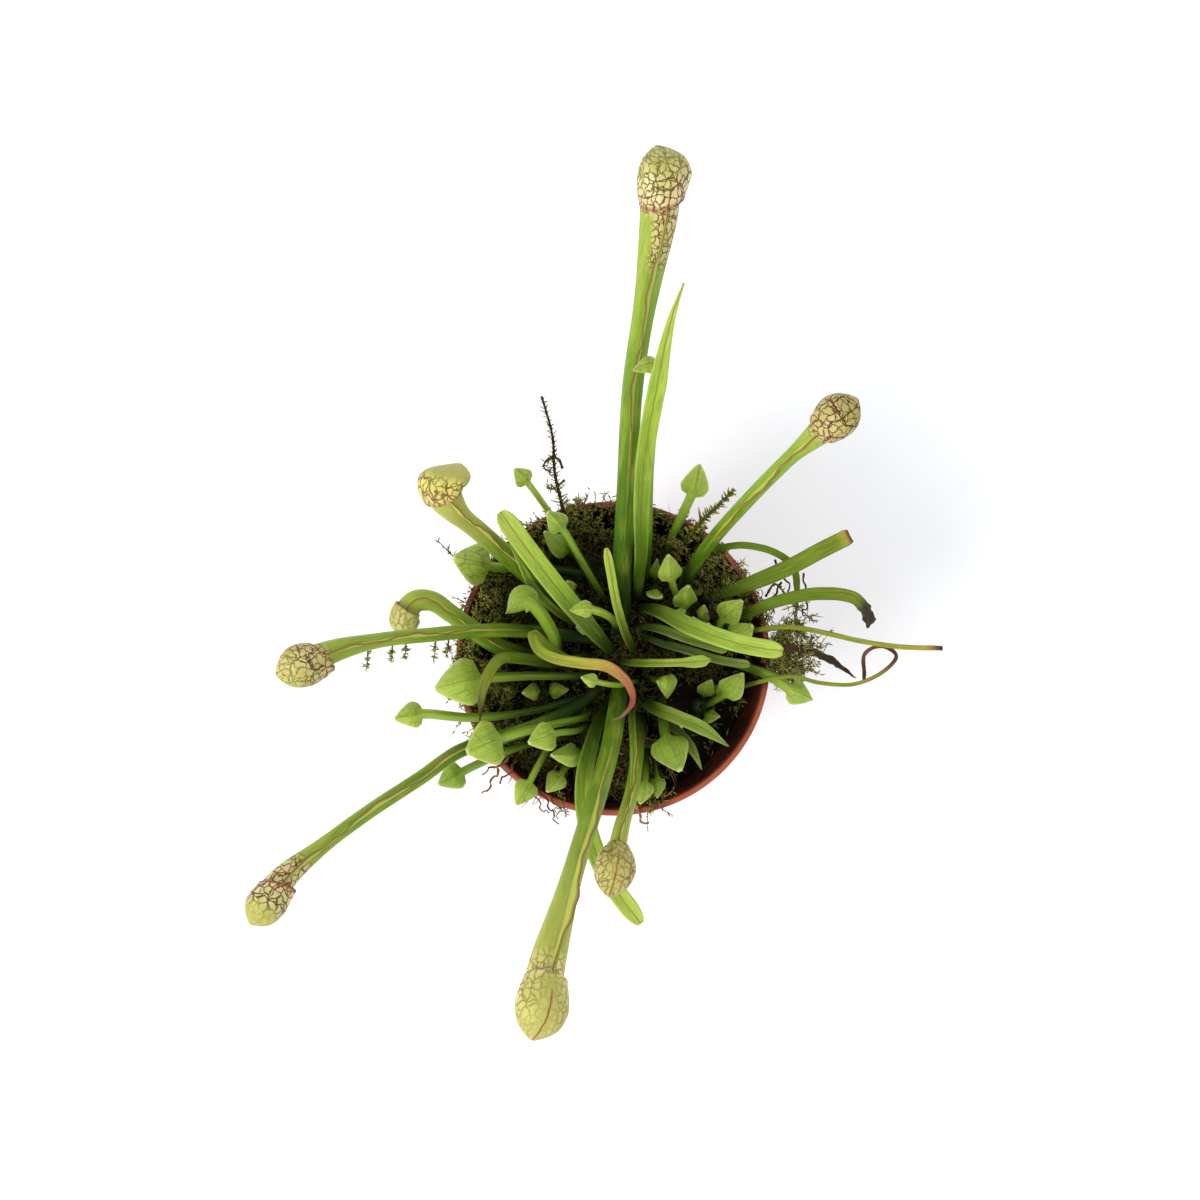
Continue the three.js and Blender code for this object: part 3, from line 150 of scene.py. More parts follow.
# Young pitchers: stalk width at root and top, hood length and width, spine.
YOUNG = {
    "young_pitcher_north_west_long": (1.6, 2, 4.4, 5.8, [(-5.4, 20, 67.5), (-9.3, 26, 74),
        (-14.7, 33, 84), (-20.8, 40, 93), (-26.3, 45.7, 100), (-29.6, 48.6, 102.5)]),
    "young_pitcher_north_west_inner": (1.8, 2.2, 5.2, 6.4, [(-2.2, 17, 67.5), (-5.7, 19.8, 80),
        (-11, 26, 91), (-16, 32.6, 98), (-20.6, 37.2, 101)]),
    "young_pitcher_west_veined": (2.6, 3, 8.5, 12.4, [(-6.3, 24, 67.5), (-14, 25.2, 71),
        (-25.7, 25, 76), (-35.7, 24.6, 82), (-46.2, 26.4, 86)]),
    "young_pitcher_west_large": (2.4, 3.2, 10, 13.4, [(-5.6, -4.6, 67.5), (-12.7, -5.6, 75),
        (-25.7, -6.2, 82), (-39.4, -7.9, 89), (-50.6, -10.6, 91)]),
    "young_pitcher_west_outer": (2.2, 3.2, 6, 7.4, [(-9.8, -11.4, 67.5), (-16.4, -13.6, 71.5),
        (-26.8, -16.2, 75), (-41, -17.8, 81), (-54.6, -17.1, 86), (-61.6, -18.6, 87)]),
    "young_pitcher_south_west_large": (2, 2.8, 8, 12.6, [(-6.4, -15.2, 67.5), (-9.5, -17.6, 80),
        (-19, -20.3, 91), (-30.2, -23.4, 97), (-42, -28, 101)]),
    "young_pitcher_south_west_low": (2, 2.8, 6, 8, [(-13, -22.6, 67.5), (-20, -23.7, 71),
        (-29.6, -26.7, 76.4), (-39.4, -31, 80), (-49.6, -36.4, 82)]),
    "young_pitcher_south_west_inner": (1.8, 2.2, 6.4, 8.2, [(-7.6, -19, 67.5), (-11.2, -21.4, 82),
        (-18, -22.8, 95), (-25.4, -25.4, 98.5)]),
    "young_pitcher_south_west_rim": (1.6, 2.2, 5.8, 6.8, [(-14.4, -18.1, 67.5), (-16.8, -22.4, 74.5),
        (-21.8, -30.8, 80), (-24.7, -36.4, 82), (-28, -42, 82.5)]),
    "young_pitcher_west_thick": (3, 4.4, 7.2, 7.6, [(-15.8, 1.2, 67.5), (-16.8, 2, 78),
        (-18.8, 6, 88.5), (-23.2, 11.7, 93.5), (-26.6, 14, 94), (-30.6, 10.8, 91)]),
    "young_pitcher_north_hooked": (1.8, 2.8, 5.4, 5, [(9.8, 23, 67.5), (8.8, 32, 86), (7, 48, 106),
        (6.8, 61.4, 120), (6.6, 66.5, 129.5), (4, 69.2, 136), (-0.4, 67.8, 136)]),
    "young_pitcher_north_dark": (2.4, 3.4, 8, 7, [(-9.6, 29.4, 67.5), (-12.4, 30.4, 72),
        (-17, 32, 78.5), (-20.6, 35, 80)]),
    "young_pitcher_north_west_tiny": (1.6, 2, 4.2, 4.2, [(-8.8, 17.6, 67.5), (-11.8, 18.3, 73),
        (-13.9, 21.2, 79)]),
    "young_pitcher_centre": (1.4, 1.8, 3.8, 4, [(7.2, -6.8, 67.5), (4.9, -7.4, 77), (0, -9, 87),
        (-5.6, -8.7, 93), (-11, -7.4, 95.5)]),
    "young_pitcher_east_inner": (1.6, 2, 5.2, 5.8, [(10.4, -5.2, 67.5), (11.9, -6.8, 75),
        (14, -7.2, 81.5), (14.3, -12, 80.5)]),
    "young_pitcher_south_east_large": (2.2, 3.6, 9, 11, [(14.2, -11, 67.5), (13.6, -16.2, 74.5),
        (13.9, -24, 83), (17, -33, 88.5)]),
    "young_pitcher_north_east_wide": (2.2, 3.2, 7, 8, [(15.5, 29.4, 67.5), (16, 33.6, 76),
        (18.3, 39.6, 87), (20.7, 45.7, 93), (22, 52.2, 94.5)]),
    "young_pitcher_over_rim_east": (2.4, 3.6, 5.6, 7.4, [(32.2, -0.6, 67.5), (37.9, -2.4, 72),
        (44.4, -5.8, 78.5), (49.8, -9.7, 80.5), (55.4, -12.3, 79.5)]),
}

# Rosettes: crown x, y and radius, then leaves that start inside the crown, as young pitchers or
# as blades.
ROSETTES = {
    "rosette_centre": [
        (0.6, 8.2, 1.9),
        (1.8, 2.6, 4.8, 4.8, [(1.2, 7.6, 66), (-1.7, 9.6, 86), (-5.6, 10.6, 94), (-9.8, 11, 97.5),
            (-14.2, 10.5, 98)]),
        (1.2, 1.6, 3.8, 4.2, [(-0.6, 8.6, 66), (-6.3, 7.9, 76), (-11.4, 7.7, 81.5)]),
    ],
    "rosette_north": [
        (12.6, 20.8, 1.9),
        (1.4, 1.8, 4.8, 5, [(12.2, 19.8, 66), (11, 18.6, 72), (13.4, 16.6, 77.5)]),
        (1.6, 2, 5, 3.2, [(12.6, 21.8, 66), (12, 24.4, 70.5), (12.4, 28.4, 74)]),
    ],
    "rosette_north_east": [
        (21.2, 12.6, 3),
        (1.8, 2.4, 6.6, 7, [(19.6, 13.6, 66), (17, 18.4, 78), (14.9, 22.2, 85), (13.8, 27.6, 89)]),
        (1.8, 2.2, 6.6, 7.2, [(21.4, 12.6, 66), (20, 15.4, 76), (20.4, 20, 81.5)]),
        (1.4, 1.6, 4, 4.4, [(22.8, 14.2, 66), (24, 19, 69), (25, 23.4, 70.5)]),
        (1.4, 1.6, 4.6, 5.2, [(20, 11.4, 66), (18.6, 12, 71.5), (20.6, 14.6, 75)]),
        (1.4, 1.6, 4.2, 4.8, [(23, 11.6, 66), (25.6, 11.8, 70), (26, 15.2, 73.5)]),
    ],
    "rosette_east": [
        (29.6, 5.4, 2.4),
        (1.8, 2.8, 6.6, 7.6, [(29.8, 6.2, 66), (29.4, 8, 74), (31, 11.1, 82), (35.2, 15.2, 86)]),
        (1.2, 1.4, 3.8, 4.2, [(28.4, 6.2, 66), (23.8, 7.9, 76), (21.9, 11, 79.5)]),
        (1.2, 1.4, 4.2, 4.6, [(29, 5, 66), (26.9, 5.6, 76), (26, 9.2, 81)]),
        (1.8, 2.4, 6.6, 8.2, [(30.6, 5, 66), (33.4, 4.9, 77), (38.6, 8.5, 83)]),
    ],
    "rosette_south_east": [
        (25.6, -13.4, 2.6),
        (1.8, 2.4, 6.8, 7.6, [(25.4, -14, 66), (27.6, -13, 76), (31.6, -9.9, 84), (35, -5.4, 87)]),
        (1.4, 1.8, 4.8, 5.2, [(26, -12.2, 66), (26.4, -9.8, 70), (28, -6.2, 73.5)]),
        (1, 1.2, 3.4, 3.4, [(27, -12.4, 66), (29.6, -10, 69), (32, -7, 71)]),
        (1.2, 1.4, 3.8, 4.4, [(26, -14.8, 66), (27.2, -16.4, 70), (30.4, -16.8, 72.5)]),
    ],
    "rosette_south": [
        (10.4, -24.4, 1.9),
        (1.6, 2.2, 5.2, 5.8, [(9.9, -25, 66), (9, -30.6, 73.5), (8, -36.2, 79), (6.6, -41.8, 80.5)]),
        (1.4, 1.8, 4.6, 4.6, [(10.9, -24.6, 66), (11.6, -30.4, 72), (12, -36, 76.5), (11.8, -40, 77)]),
    ],
    "rosette_south_west": [
        (-8, -24.2, 2.1),
        (1.8, 2.4, 5.2, 6.2, [(-9, -24.6, 66), (-11.9, -28.4, 71.5), (-15, -33, 75.5),
            (-19.4, -38.4, 77.5)]),
        (1.8, 2.4, 7.4, 6.8, [(-7.4, -24.2, 66), (-8.7, -26.4, 74), (-12.4, -28, 79.5),
            (-18.6, -28.2, 82.5)]),
    ],
    "rosette_west": [
        (-19.6, -9.8, 2.2),
        (1.6, 1.8, 4.8, 4.8, [(-18.4, -9.8, 66), (-17, -9.4, 68.5), (-12.8, -9.2, 70.5)]),
        (1.4, 1.6, 4.6, 5.2, [(-20.6, -9.8, 66), (-22, -9.8, 71), (-26.2, -10.4, 74)]),
        (1.4, 1.6, 4.6, 5, [(-20.4, -9.2, 66), (-27.6, -9.4, 68), (-33, -8.6, 70.5)]),
    ],
    "growing_leaves_east": [
        (7.6, 8.4, 1.9),
        (1.8, 2.8, "round", [(7.4, 9.2, 66), (11.6, 8.3, 75), (20.8, 4.6, 80.5), (31.3, 1.4, 81.5)]),
        (1.8, 2.4, "round", [(8.2, 7.6, 66), (12.6, 4.4, 73), (21.2, 1.5, 77.5), (30, -1.2, 78.5),
            (38.4, -2.3, 77.5)]),
    ],
}

# Moss sprigs: stem width at root and end, leaflet length, half width of a leaflet over its length,
# lowest and highest tone, spine.
SPRIGS = {
    "moss_sprig_north_west": (1.5, 0.8, 2, 0.06, 0.2, 0.45, [(-13.2, 34.4, 67.5), (-14, 38.4, 75.5),
        (-16, 44.5, 81.5), (-17.8, 51, 86), (-18.7, 60, 91), (-21.9, 70.5, 95)]),
    "moss_sprig_north_east": (2, 1, 2.4, 0.12, 0.5, 0.75, [(18.6, 31.6, 67.5), (21.4, 35, 76),
        (25.6, 39.4, 80), (29.4, 43.2, 81.4), (33.8, 47.6, 81.5)]),
}

# The grown hood from mouth to tip: share of its length, how far the width has grown from the
# mouth's, share of full width, height over the mouth's, share of full height.
HOOD_SECTIONS = [(0, 0, 1, 1, 0), (0.25, 0.76, 1, 0.3, 0.7), (0.52, 1, 1, 0, 1),
    (0.78, 1, 0.82, 0, 0.8), (0.93, 1, 0.46, 0, 0.44), (1, 1, 0.1, 0, 0.1)]

# The young hood from stalk to point: share of its length for the ridge and for the eaves, half
# width, ridge height, eave depth.
YOUNG_HOOD_ROWS = [(0, -0.2, 0.8, 0.14, 0.12), (0.22, 0.08, 1, 0.2, 0.18), (0.66, 0.6, 0.6, 0.15, 0.1),
    (1, 1, 0.1, 0.03, 0.02)]

# ------------------------------------------------------------------ curves and sections


def smooth(low, high, x):
    """Smooth step: 0 below low, 1 above high, t*t*(3-2t) between."""
    t = np.clip((np.asarray(x, float) - low) / (high - low), 0, 1)
    return t * t * (3 - 2 * t)


def mix(a, b, t):
    return a + (np.asarray(b) - a) * t


def unit(vectors):
    return vectors / np.linalg.norm(vectors, axis=-1, keepdims=True)


def columns(*values):
    """Points from their coordinates, which may be arrays or numbers."""
    return np.stack(np.broadcast_arrays(*values), -1)


def through(points, count):
    """Centripetal Catmull-Rom curve through the rows of points, count samples to a span.

    Each span is the cubic whose end slopes are those of the parabola-like blend of neighbouring
    chords, each chord weighted by the square root of its length.
    """
    p = np.asarray(points, float)
    p = np.vstack([2 * p[0] - p[1], p, 2 * p[-1] - p[-2]])
    step = np.maximum(np.linalg.norm(np.diff(p[:, :3], axis=0), axis=1), 1e-6) ** 0.5
    a, b, c, d = p[:-3], p[1:-2], p[2:-1], p[3:]
    r, s, t = (step[i : len(step) - 2 + i, None] for i in range(3))
    leave = s * ((b - a) / r - (c - a) / (r + s) + (c - b) / s)
    reach = s * ((c - b) / s - (d - b) / (s + t) + (d - c) / t)
    u = np.linspace(0, 1, count, endpoint=False)[None, :, None]
    b, c, leave, reach = (m[:, None, :] for m in (b, c, leave, reach))
    cubic = (2 * u**3 - 3 * u**2 + 1) * b + (u**3 - 2 * u**2 + u) * leave
    cubic = cubic + (3 * u**2 - 2 * u**3) * c + (u**3 - u**2) * reach
    return np.vstack([cubic.reshape(-1, p.shape[1]), p[-2]])


class Spine:
    """A leaf's middle line: places by distance, and a frame of forward, side and up there."""

    def __init__(self, path, rooted=True):
        p = np.asarray(path, float)
        heading = (p[1] - p[0]) * [1, 1, 0]
        self.heading = heading / np.linalg.norm(heading)
        if rooted:
            p = np.vstack([[p[0, 0], p[0, 1], ROOT_Z], p])
        self.line = through(p, 40)
        steps = np.linalg.norm(np.diff(self.line, axis=0), axis=1)
        self.walk = np.concatenate([[0], np.cumsum(steps)])
        self.length = self.walk[-1]
        self.slope = np.gradient(self.line, self.walk, axis=0)

    def frames(self, distance, twist=0.0):
        """(place, forward, side, up), each (n, 3): up turned about forward by twist. Near the root,
        where the line is upright, the heading keeps the side level.
        """
        d = np.clip(np.atleast_1d(distance).astype(float), 0, self.length)
        place, forward = (
            np.stack([np.interp(d, self.walk, column) for column in grid.T], 1)
            for grid in (self.line, self.slope)
        )
        forward = unit(forward)
        level = forward + 1.2 * (1 - smooth(4, 16, d))[:, None] * self.heading
        up = unit(np.cross(unit(columns(level[:, 1], -level[:, 0], 0)), forward))
        side = np.cross(forward, up)
        turn = np.broadcast_to(np.asarray(twist, float), d.shape)[:, None]
        turned = side * np.cos(turn) - up * np.sin(turn)
        return place, forward, turned, up * np.cos(turn) + side * np.sin(turn)


def sections(frames, x, y, onward=0.0):
    """Rings of points: place + x * side + y * up + onward * forward, x and y (n, k)."""
    place, forward, side, up = (f[:, None, :] for f in frames)
    x, y, onward = (v[..., None] for v in np.broadcast_arrays(x, y, onward))
    return place + x * side + y * up + onward * forward


# A skin is points, four- and three-sided faces, and named values at the points.
Skin = namedtuple("Skin", "points quads tris values")


def tube_quads(rings, count):
    """Faces between rings of count points each."""
    i, j = np.meshgrid(np.arange(rings - 1), np.arange(count), indexing="ij")
    k = (j + 1) % count
    near, far = i * count, (i + 1) * count
    return columns(near + j, near + k, far + k, far + j).reshape(-1, 4)


def loft(rings, **values):
    """A closed skin over (n, k, 3) rings that turn right-handedly about the way on, with a pole in
    the middle of the first ring and of the last. values: (n, k), (n, 1) or number, or (n, k, 3).
    """
    n, k, _ = rings.shape
    j, nxt = np.arange(k), (np.arange(k) + 1) % k
    end = (n - 1) * k
    tris = np.vstack([columns(n * k, nxt, j), columns(n * k + 1, end + j, end + nxt)])
    points = np.vstack([rings.reshape(-1, 3), rings[0].mean(0), rings[-1].mean(0)])
    spread = {}
    for name, value in values.items():
        value = np.asarray(value, float)
        if value.ndim == 3:
            spread[name] = np.vstack([value.reshape(-1, 3), value[0].mean(0), value[-1].mean(0)])
        else:
            value = np.broadcast_to(value, (n, k))
            spread[name] = np.concatenate([value.ravel(), [value[0].mean(), value[-1].mean()]])
    return Skin(points, tube_quads(n, k), tris, spread)


def together(skins):
    """Several skins as one."""
    starts = np.cumsum([0] + [len(skin.points) for skin in skins])
    return Skin(
        np.vstack([skin.points for skin in skins]),
        np.vstack([skin.quads + start for skin, start in zip(skins, starts)]),
        np.vstack([skin.tris + start for skin, start in zip(skins, starts)]),
        {key: np.concatenate([skin.values[key] for skin in skins]) for key in skins[0].values},
    )


def finish_piece(name, skin, material, slot, *replaces):
    """A named Blender mesh, in metres, from a skin in millimetres; it rides on the pot's body. It
    also carries a mask of painted shade, 1 low in the crown and 0 above it and outside.
    """
    mesh = bpy.data.meshes.new(name)
    mesh.vertices.add(len(skin.points))
    mesh.vertices.foreach_set("co", (skin.points * METRE).astype(np.float32).ravel())
    corners = np.concatenate([skin.quads.ravel(), skin.tris.ravel()]).astype(np.int32)
    mesh.loops.add(len(corners))
    mesh.loops.foreach_set("vertex_index", corners)
    fours, threes = len(skin.quads), len(skin.tris)
    mesh.polygons.add(fours + threes)
    starts = np.concatenate([4 * np.arange(fours), 4 * fours + 3 * np.arange(threes)])
    mesh.polygons.foreach_set("loop_start", starts.astype(np.int32))
    mesh.polygons.foreach_set("use_smooth", np.ones(fours + threes, bool))
    mesh.update(calc_edges=True)
    x, y, z = skin.points.T
    crown_shade = smooth(*SHADE_Z, z) * smooth(*SHADE_RADIUS, np.hypot(x, y))
    for key, value in {**skin.values, "crown_shade": crown_shade}.items():
        kind, field = ("FLOAT_VECTOR", "vector") if value.ndim == 2 else ("FLOAT", "value")
        layer = mesh.attributes.new(key, kind, "POINT")
        layer.data.foreach_set(field, value.astype(np.float32).ravel())
    mesh.materials.append(material)
    piece = bpy.data.objects.new(name, mesh)
    bpy.context.scene.collection.objects.link(piece)
    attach(piece, "root")
    if replaces:
        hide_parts(*replaces)


# ------------------------------------------------------------------ grown pitchers


def tube_half(tube, share):
    """Half width along the tube: root to waist over the first quarter, then out to the mouth."""
    root, slim, mouth, flare = tube
    waist = mix(root, slim, smooth(0, 0.25, share))
    return mix(waist, mouth, smooth(flare, 1.02, share) ** 1.4) / 2


def round_angles(count):
    return (np.arange(count) + 0.5) * TAU / count


def signed(angle):
    """The same angles from -pi to pi, 0 at the top line."""
    return np.where(angle > np.pi, angle - TAU, angle)


def laid(across, along):
    """Where a point lies on the flattened leaf: millimetres across from its top line, and along."""
    return columns(across, along, 0.0)


class Pitcher:
    """One grown pitcher: the spine, the tube that ends in the hood's mouth, and what is painted.

    Every part carries these masks, 0 where it says nothing else: net of veins and windows, dark
    lip, inside of the hood, thin wing of the crest, and where a midrib shows.
    """

    masks = dict(net=0.0, lip=0.0, inside=0.0, wing=0.0, rib=0.0)

    def __init__(self, row, marks, look):
        self.tube, self.hood, (self.crest, self.sway), self.turn, path = row
        self.start, self.side, self.tip, self.middle, self.midrib, self.lip = marks
        self.look = look
        self.line = Spine(path)
        self.mouth = self.line.length - self.hood[0] + 1.2

    def skin(self):
        return together([self.tube_skin(), self.crest_skin(), self.hood_skin()])

    def twisted(self, d, share):
        return self.line.frames(d, self.turn * smooth(0.3, 1, share))

    def tube_skin(self):
        """The tube: ellipses 0.9 as high as wide, with faint lengthwise ribs. Its windows begin at
        a share of its length, on both sides or on one, and close round it at the mouth.
        """
        d = np.linspace(0, self.mouth, 130)
        share = d[:, None] / self.mouth
        a = tube_half(self.tube, share)
        angle = round_angles(32)[None, :]
        rib = 1 + 0.012 * np.cos(7 * angle) * smooth(0.1, 0.4, share)
        x, y = a * rib * np.sin(angle), TUBE_HEIGHT * a * rib * np.cos(angle)
        facing = mix(1.0, smooth(-0.8, -0.35, self.side * np.sin(angle)), abs(self.side))
        net = smooth(self.start, self.start + 0.05, share) * facing
        net = np.maximum(net, smooth(0.955, 0.985, share)) * smooth(3.1, 2.8, np.abs(signed(angle)))
        rings = sections(self.twisted(d, share[:, 0]), x, y)
        masks = {**self.masks, "net": net, **self.look}
        grow = laid(a * signed(angle), d[:, None])
        return loft(rings, grow=grow, share=share * TUBE_SHARE, **masks)

    def crest_skin(self):
        """The wavy crest along the upper face: a thin lens that leans to one side and is highest
        near four fifths of the tube.
        """
        d = np.linspace(3, self.mouth - 0.4, 170)
        share = d / self.mouth
        half = tube_half(self.tube, share)
        height = self.crest * smooth(0.12, 0.8, share) * (1 - 0.75 * smooth(0.86, 1, share))
        wave = 0.8 * self.sway * smooth(0.2, 0.7, share) + 0.4 * np.sin(9 * share * np.pi)
        wave = height * wave + 0.12 * height * np.sin(31 * share * np.pi + 1)
        up = np.array([-0.35, 0.2, 0.6, 0.9, 1.0, 0.9, 0.6, 0.2, -0.35])
        thick = np.array([0.4, 0.34, 0.27, 0.2, 0, -0.2, -0.27, -0.34, -0.4])
        x = -thick[None, :] + wave[:, None] * np.maximum(up, 0) ** 1.3
        y = TUBE_HEIGHT * half[:, None] + (height[:, None] + 0.05) * up + np.minimum(up, 0) * 0.4
        grown = smooth(0.3, 0.5, share)[:, None]
        lip, wing = 0.9 * smooth(0.7, 0.92, up)[None, :] * grown, smooth(0, 0.4, up)[None, :] * grown
        masks = {**self.masks, "lip": lip, "wing": wing, **self.look}
        rings = sections(self.twisted(d, share), x, y)
        return loft(rings, grow=laid(x, d[:, None]), share=share[:, None] * TUBE_SHARE, **masks)

    def hood_skin(self):
        """The hood: a cup of ellipses from its far point to the margin over the mouth, doubled back
        inside by the wall's thickness. The margin slants, its upper side leans back over the tube,
        the far point may turn aside, and a low midrib runs along the top.
        """
        length, width, shoulder, slant, beak = (*self.hood, 0)[:5]
        rows = through(HOOD_SECTIONS, 8)
        at = rows[:, 0]
        tube_high = TUBE_HEIGHT * tube_half(self.tube, 1.0)
        angle = round_angles(48)[None, :]
        off = np.abs(signed(angle))
        top = (tube_high + 1.15) * rows[:, 3] * 2 + 0.88 * width * rows[:, 4]
        top = top - tube_high * mix(1, 0.3, at**2)
        climb = np.hypot(length * np.diff(at), np.diff(top))
        reach = self.line.length - length + np.concatenate([[0], np.cumsum(climb)])

        def ring(rows, skin):
            t, grown, wide, mouth_high, high = rows.T[:, :, None]
            half_high = (tube_high + 1.15) * mouth_high + 0.44 * width * high
            swell = 1 + 0.03 * np.exp(-((off / 0.16) ** 2)) * smooth(0.02, 0.3, t) * (1 - t)
            swell = swell + 0.012 * np.sin(5 * angle + 7 * t) * np.sin(np.pi * np.clip(t, 0, 1))
            a = np.maximum(mix(shoulder, 1, grown) * wide * width / 2 - skin, 0.2) * swell
            b = np.maximum(half_high - skin, 0.2) * swell
            x = a * np.sin(angle)
            y = half_high - tube_high * mix(1, 0.3, t * t) + b * np.cos(angle)
            lean = 0.05 * length * (1 - t) * (1 + np.cos(angle)) / 2
            onward = slant * (1 - t) ** 2 * x - lean
            frames = self.line.frames((self.line.length - (1 - t) * length)[:, 0], self.turn)
            along = np.interp(rows[:, 0], at, reach)[:, None] + onward
            grow = laid((a + b) / 2 * signed(angle), along)
            return sections(frames, x + beak * t * t, y, onward), grow, t + 0 * x

        inner = ring(rows[at < 0.86][::-1], HOOD_WALL)
        lip, outer = ring(rows[:1], -LIP_ROLL), ring(rows, 0.0)
        rings, grow = (np.concatenate([inner[i], lip[i], outer[i][1:]]) for i in (0, 1))
        t = np.concatenate([-inner[2], lip[2], outer[2][1:]])
        far = np.abs(t)
        plain = self.middle * np.exp(-((off / 0.55) ** 2)) * smooth(0.0, 0.1, far)
        net = (1 - self.tip * smooth(0.5, 0.85, far)) * (1 - plain) * smooth(3.1, 2.8, off)
        masks = {
            "net": net,
            "lip": self.lip * (1 - smooth(0.03, 0.1, far)),
            "inside": (np.arange(len(rings)) < len(inner[0])).astype(float)[:, None],
            "rib": self.midrib * smooth(0.8, 0.5, off) * smooth(0.2, 0.45, t),
        }
        masks = {**self.masks, **masks, **self.look}
        share = TUBE_SHARE + (1 - TUBE_SHARE) * np.clip(t, 0, 1)
        return loft(rings, grow=grow, share=share, **masks)


# ------------------------------------------------------------------ blades and young pitchers

TIP_SHAPE = {
    "pointed": lambda s: np.minimum(1, 4.2 * (1 - s) + 0.1),
    "round": lambda s: np.sqrt(np.clip(1 - 0.85 * (np.maximum(s - 0.93, 0) / 0.07) ** 2, 0, 1)),
    "bulb": lambda s: 1 + 0.5 * smooth(0.8, 0.9, s) - 1.1 * smooth(0.95, 1, s),
    "cut": lambda s: 1 - 0.1 * smooth(0.97, 1, s),
}


def leaf_look(tone, veins=0.0):
    """What a small leaf carries, 0 where it says nothing else."""
    return dict(tone=tone, veins=veins, hood=0.0, margin=0.0, ridge=0.0, dry=0.0, brown=0.0)


def blade_skin(form, look, rooted=True, dryness=None):
    """A folded blade: a lens section whose margins lift by about a third of the half width. How
    dry and how brown it is goes by a list of (share, dryness, brown) along it.
    """
    root, widest, tip, path = form
    line = Spine(path, rooted)
    d = np.linspace(0, line.length, max(40, int(line.length / 0.8)))
    share = d / line.length
    half = (mix(root, widest, smooth(0, 0.6, share)) / 2 * TIP_SHAPE[tip](share))[:, None]
    stout = (mix(min(root, 1.8), 1.1, smooth(0, 0.35, share)) / 2)[:, None]
    stout = stout * (1 - 0.35 * smooth(0.93, 1, share))[:, None]
    fold = 0.35 * half * smooth(0.1, 0.5, share)[:, None]
    u = np.concatenate([np.linspace(-1, 1, 9), np.linspace(1, -1, 9)])[None, :]
    face = np.where(np.arange(18) < 9, 1.0, -1.0)[None, :]
    thick = mix(np.minimum(0.35, stout), stout, np.sqrt(1 - 0.96 * np.abs(u)))
    at, drier, browner = np.transpose(dryness or [(0, 0, 0)])
    dry, brown = np.interp(share, at, drier), np.interp(share, at, browner)
    worn = smooth(0.4, 1, np.maximum(dry, brown))
    crinkle = (0.12 + 0.35 * worn) * np.sin(d * 0.9 + 2 * look["tone"])
    ripple = crinkle[:, None] * np.abs(u) ** 3 * (share[:, None] > 0.2)
    x = half * np.sign(u) * np.abs(u) ** 0.9 * (1 + 0.12 * worn * np.sin(d * 1.7))[:, None]
    y = fold * np.abs(u) ** 1.2 + face * thick * (1 - 0.55 * np.abs(u) ** 6) + ripple
    values = {
        **look,
        "margin": smooth(0.72, 0.98, np.abs(u)) * smooth(0.15, 0.3, share)[:, None],
        "ridge": smooth(0.15, 0.35, share)[:, None],
        "dry": dry[:, None],
        "brown": brown[:, None],
    }
    rings = sections(line.frames(d), x, y)
    return loft(rings, grow=laid(x, d[:, None]), share=share[:, None], **values)


def young_skin(form, look, rooted=True):
    """A keeled stalk that widens at once into a folded arrowhead hood.

    A section runs over the top from left to right, y = edge + (peak - edge) * (1 - |u|^p), and
    back below. In the hood the outer parts reach back along the stalk by the corner's share.
    """
    root, top, hood_length, hood_width, path = form
    line = Spine(path, rooted)
    stalk_end = line.length - hood_length
    last = stalk_end - 0.3 * hood_length
    d = np.linspace(0, last, max(16, int(last / 1.2)))
    half = mix(root, top, smooth(0.1, 1, d / stalk_end)) / 2
    keel = half * (0.95 + 0.5 * smooth(0.2, 0.7, d / stalk_end))
    stalk = columns(
        d, 0, 0.85 * half, 0.3 * half, keel, 0.8 * half, -0.6 * half, -0.95 * half, 1.7, 0
    )
    t, eave_t, wide, ridge, eave = through(YOUNG_HOOD_ROWS, 7).T
    w = wide * hood_width / 2
    peak = top / 2 + ridge * hood_width
    low = top / 4 - eave * hood_width * 0.5
    under = np.minimum(np.minimum(peak - 1.1, 0.5 * peak - 0.2), low - EDGE + 3 * wide)
    at, back = stalk_end + t * hood_length, (eave_t - t) * hood_length
    hood = columns(at, back, w, low, peak, 0.9 * w, low - EDGE, under, 1.25, 1)
    rows = np.vstack([stalk, hood]).T[..., None]
    at, back, wide_top, edge, peak, wide_low, low_edge, low_mid, power, is_hood = rows
    u = np.linspace(-1, 1, 13)[None, :]
    arch = 1 - np.abs(u) ** power
    x = np.hstack([wide_top * u, wide_low * u[:, ::-1]])
    y = np.hstack([edge + (peak - edge) * arch, low_edge + (low_mid - low_edge) * arch[:, ::-1]])
    lateral = np.hstack([np.abs(u), np.abs(u[:, ::-1])])
    onward = back * lateral**1.3
    along = np.clip((at - stalk_end) / hood_length, 0, 1) * is_hood
    values = {
        **look,
        "hood": is_hood + 0 * x,
        "margin": is_hood * np.maximum(smooth(0.8, 1, lateral), smooth(0.93, 1, along)),
        "ridge": is_hood * (np.arange(26)[None, :] < 13),
    }
    rings = sections(line.frames(at[:, 0]), x, y, onward)
    share = np.clip(at / line.length, 0, 1)
    return loft(rings, grow=laid(x, at + onward), share=share, **values)


def crown_skin(crown, look):
    """A rosette's crown: a round stub that narrows at its foot and is domed on top."""
    x, y, radius = crown
    sides = [(0.55 * radius, 60, 0), (0.75 * radius, 62, 0), (radius, 66.5, 0), (0.5 * radius, 68, 0)]
    r, z, _ = through(sides, 4).T[..., None]
    angle = round_angles(16)
    rings = columns(x + r * np.cos(angle), y + r * np.sin(angle), z)
    return loft(rings, grow=rings, share=0.05, **look)


# ------------------------------------------------------------------ materials


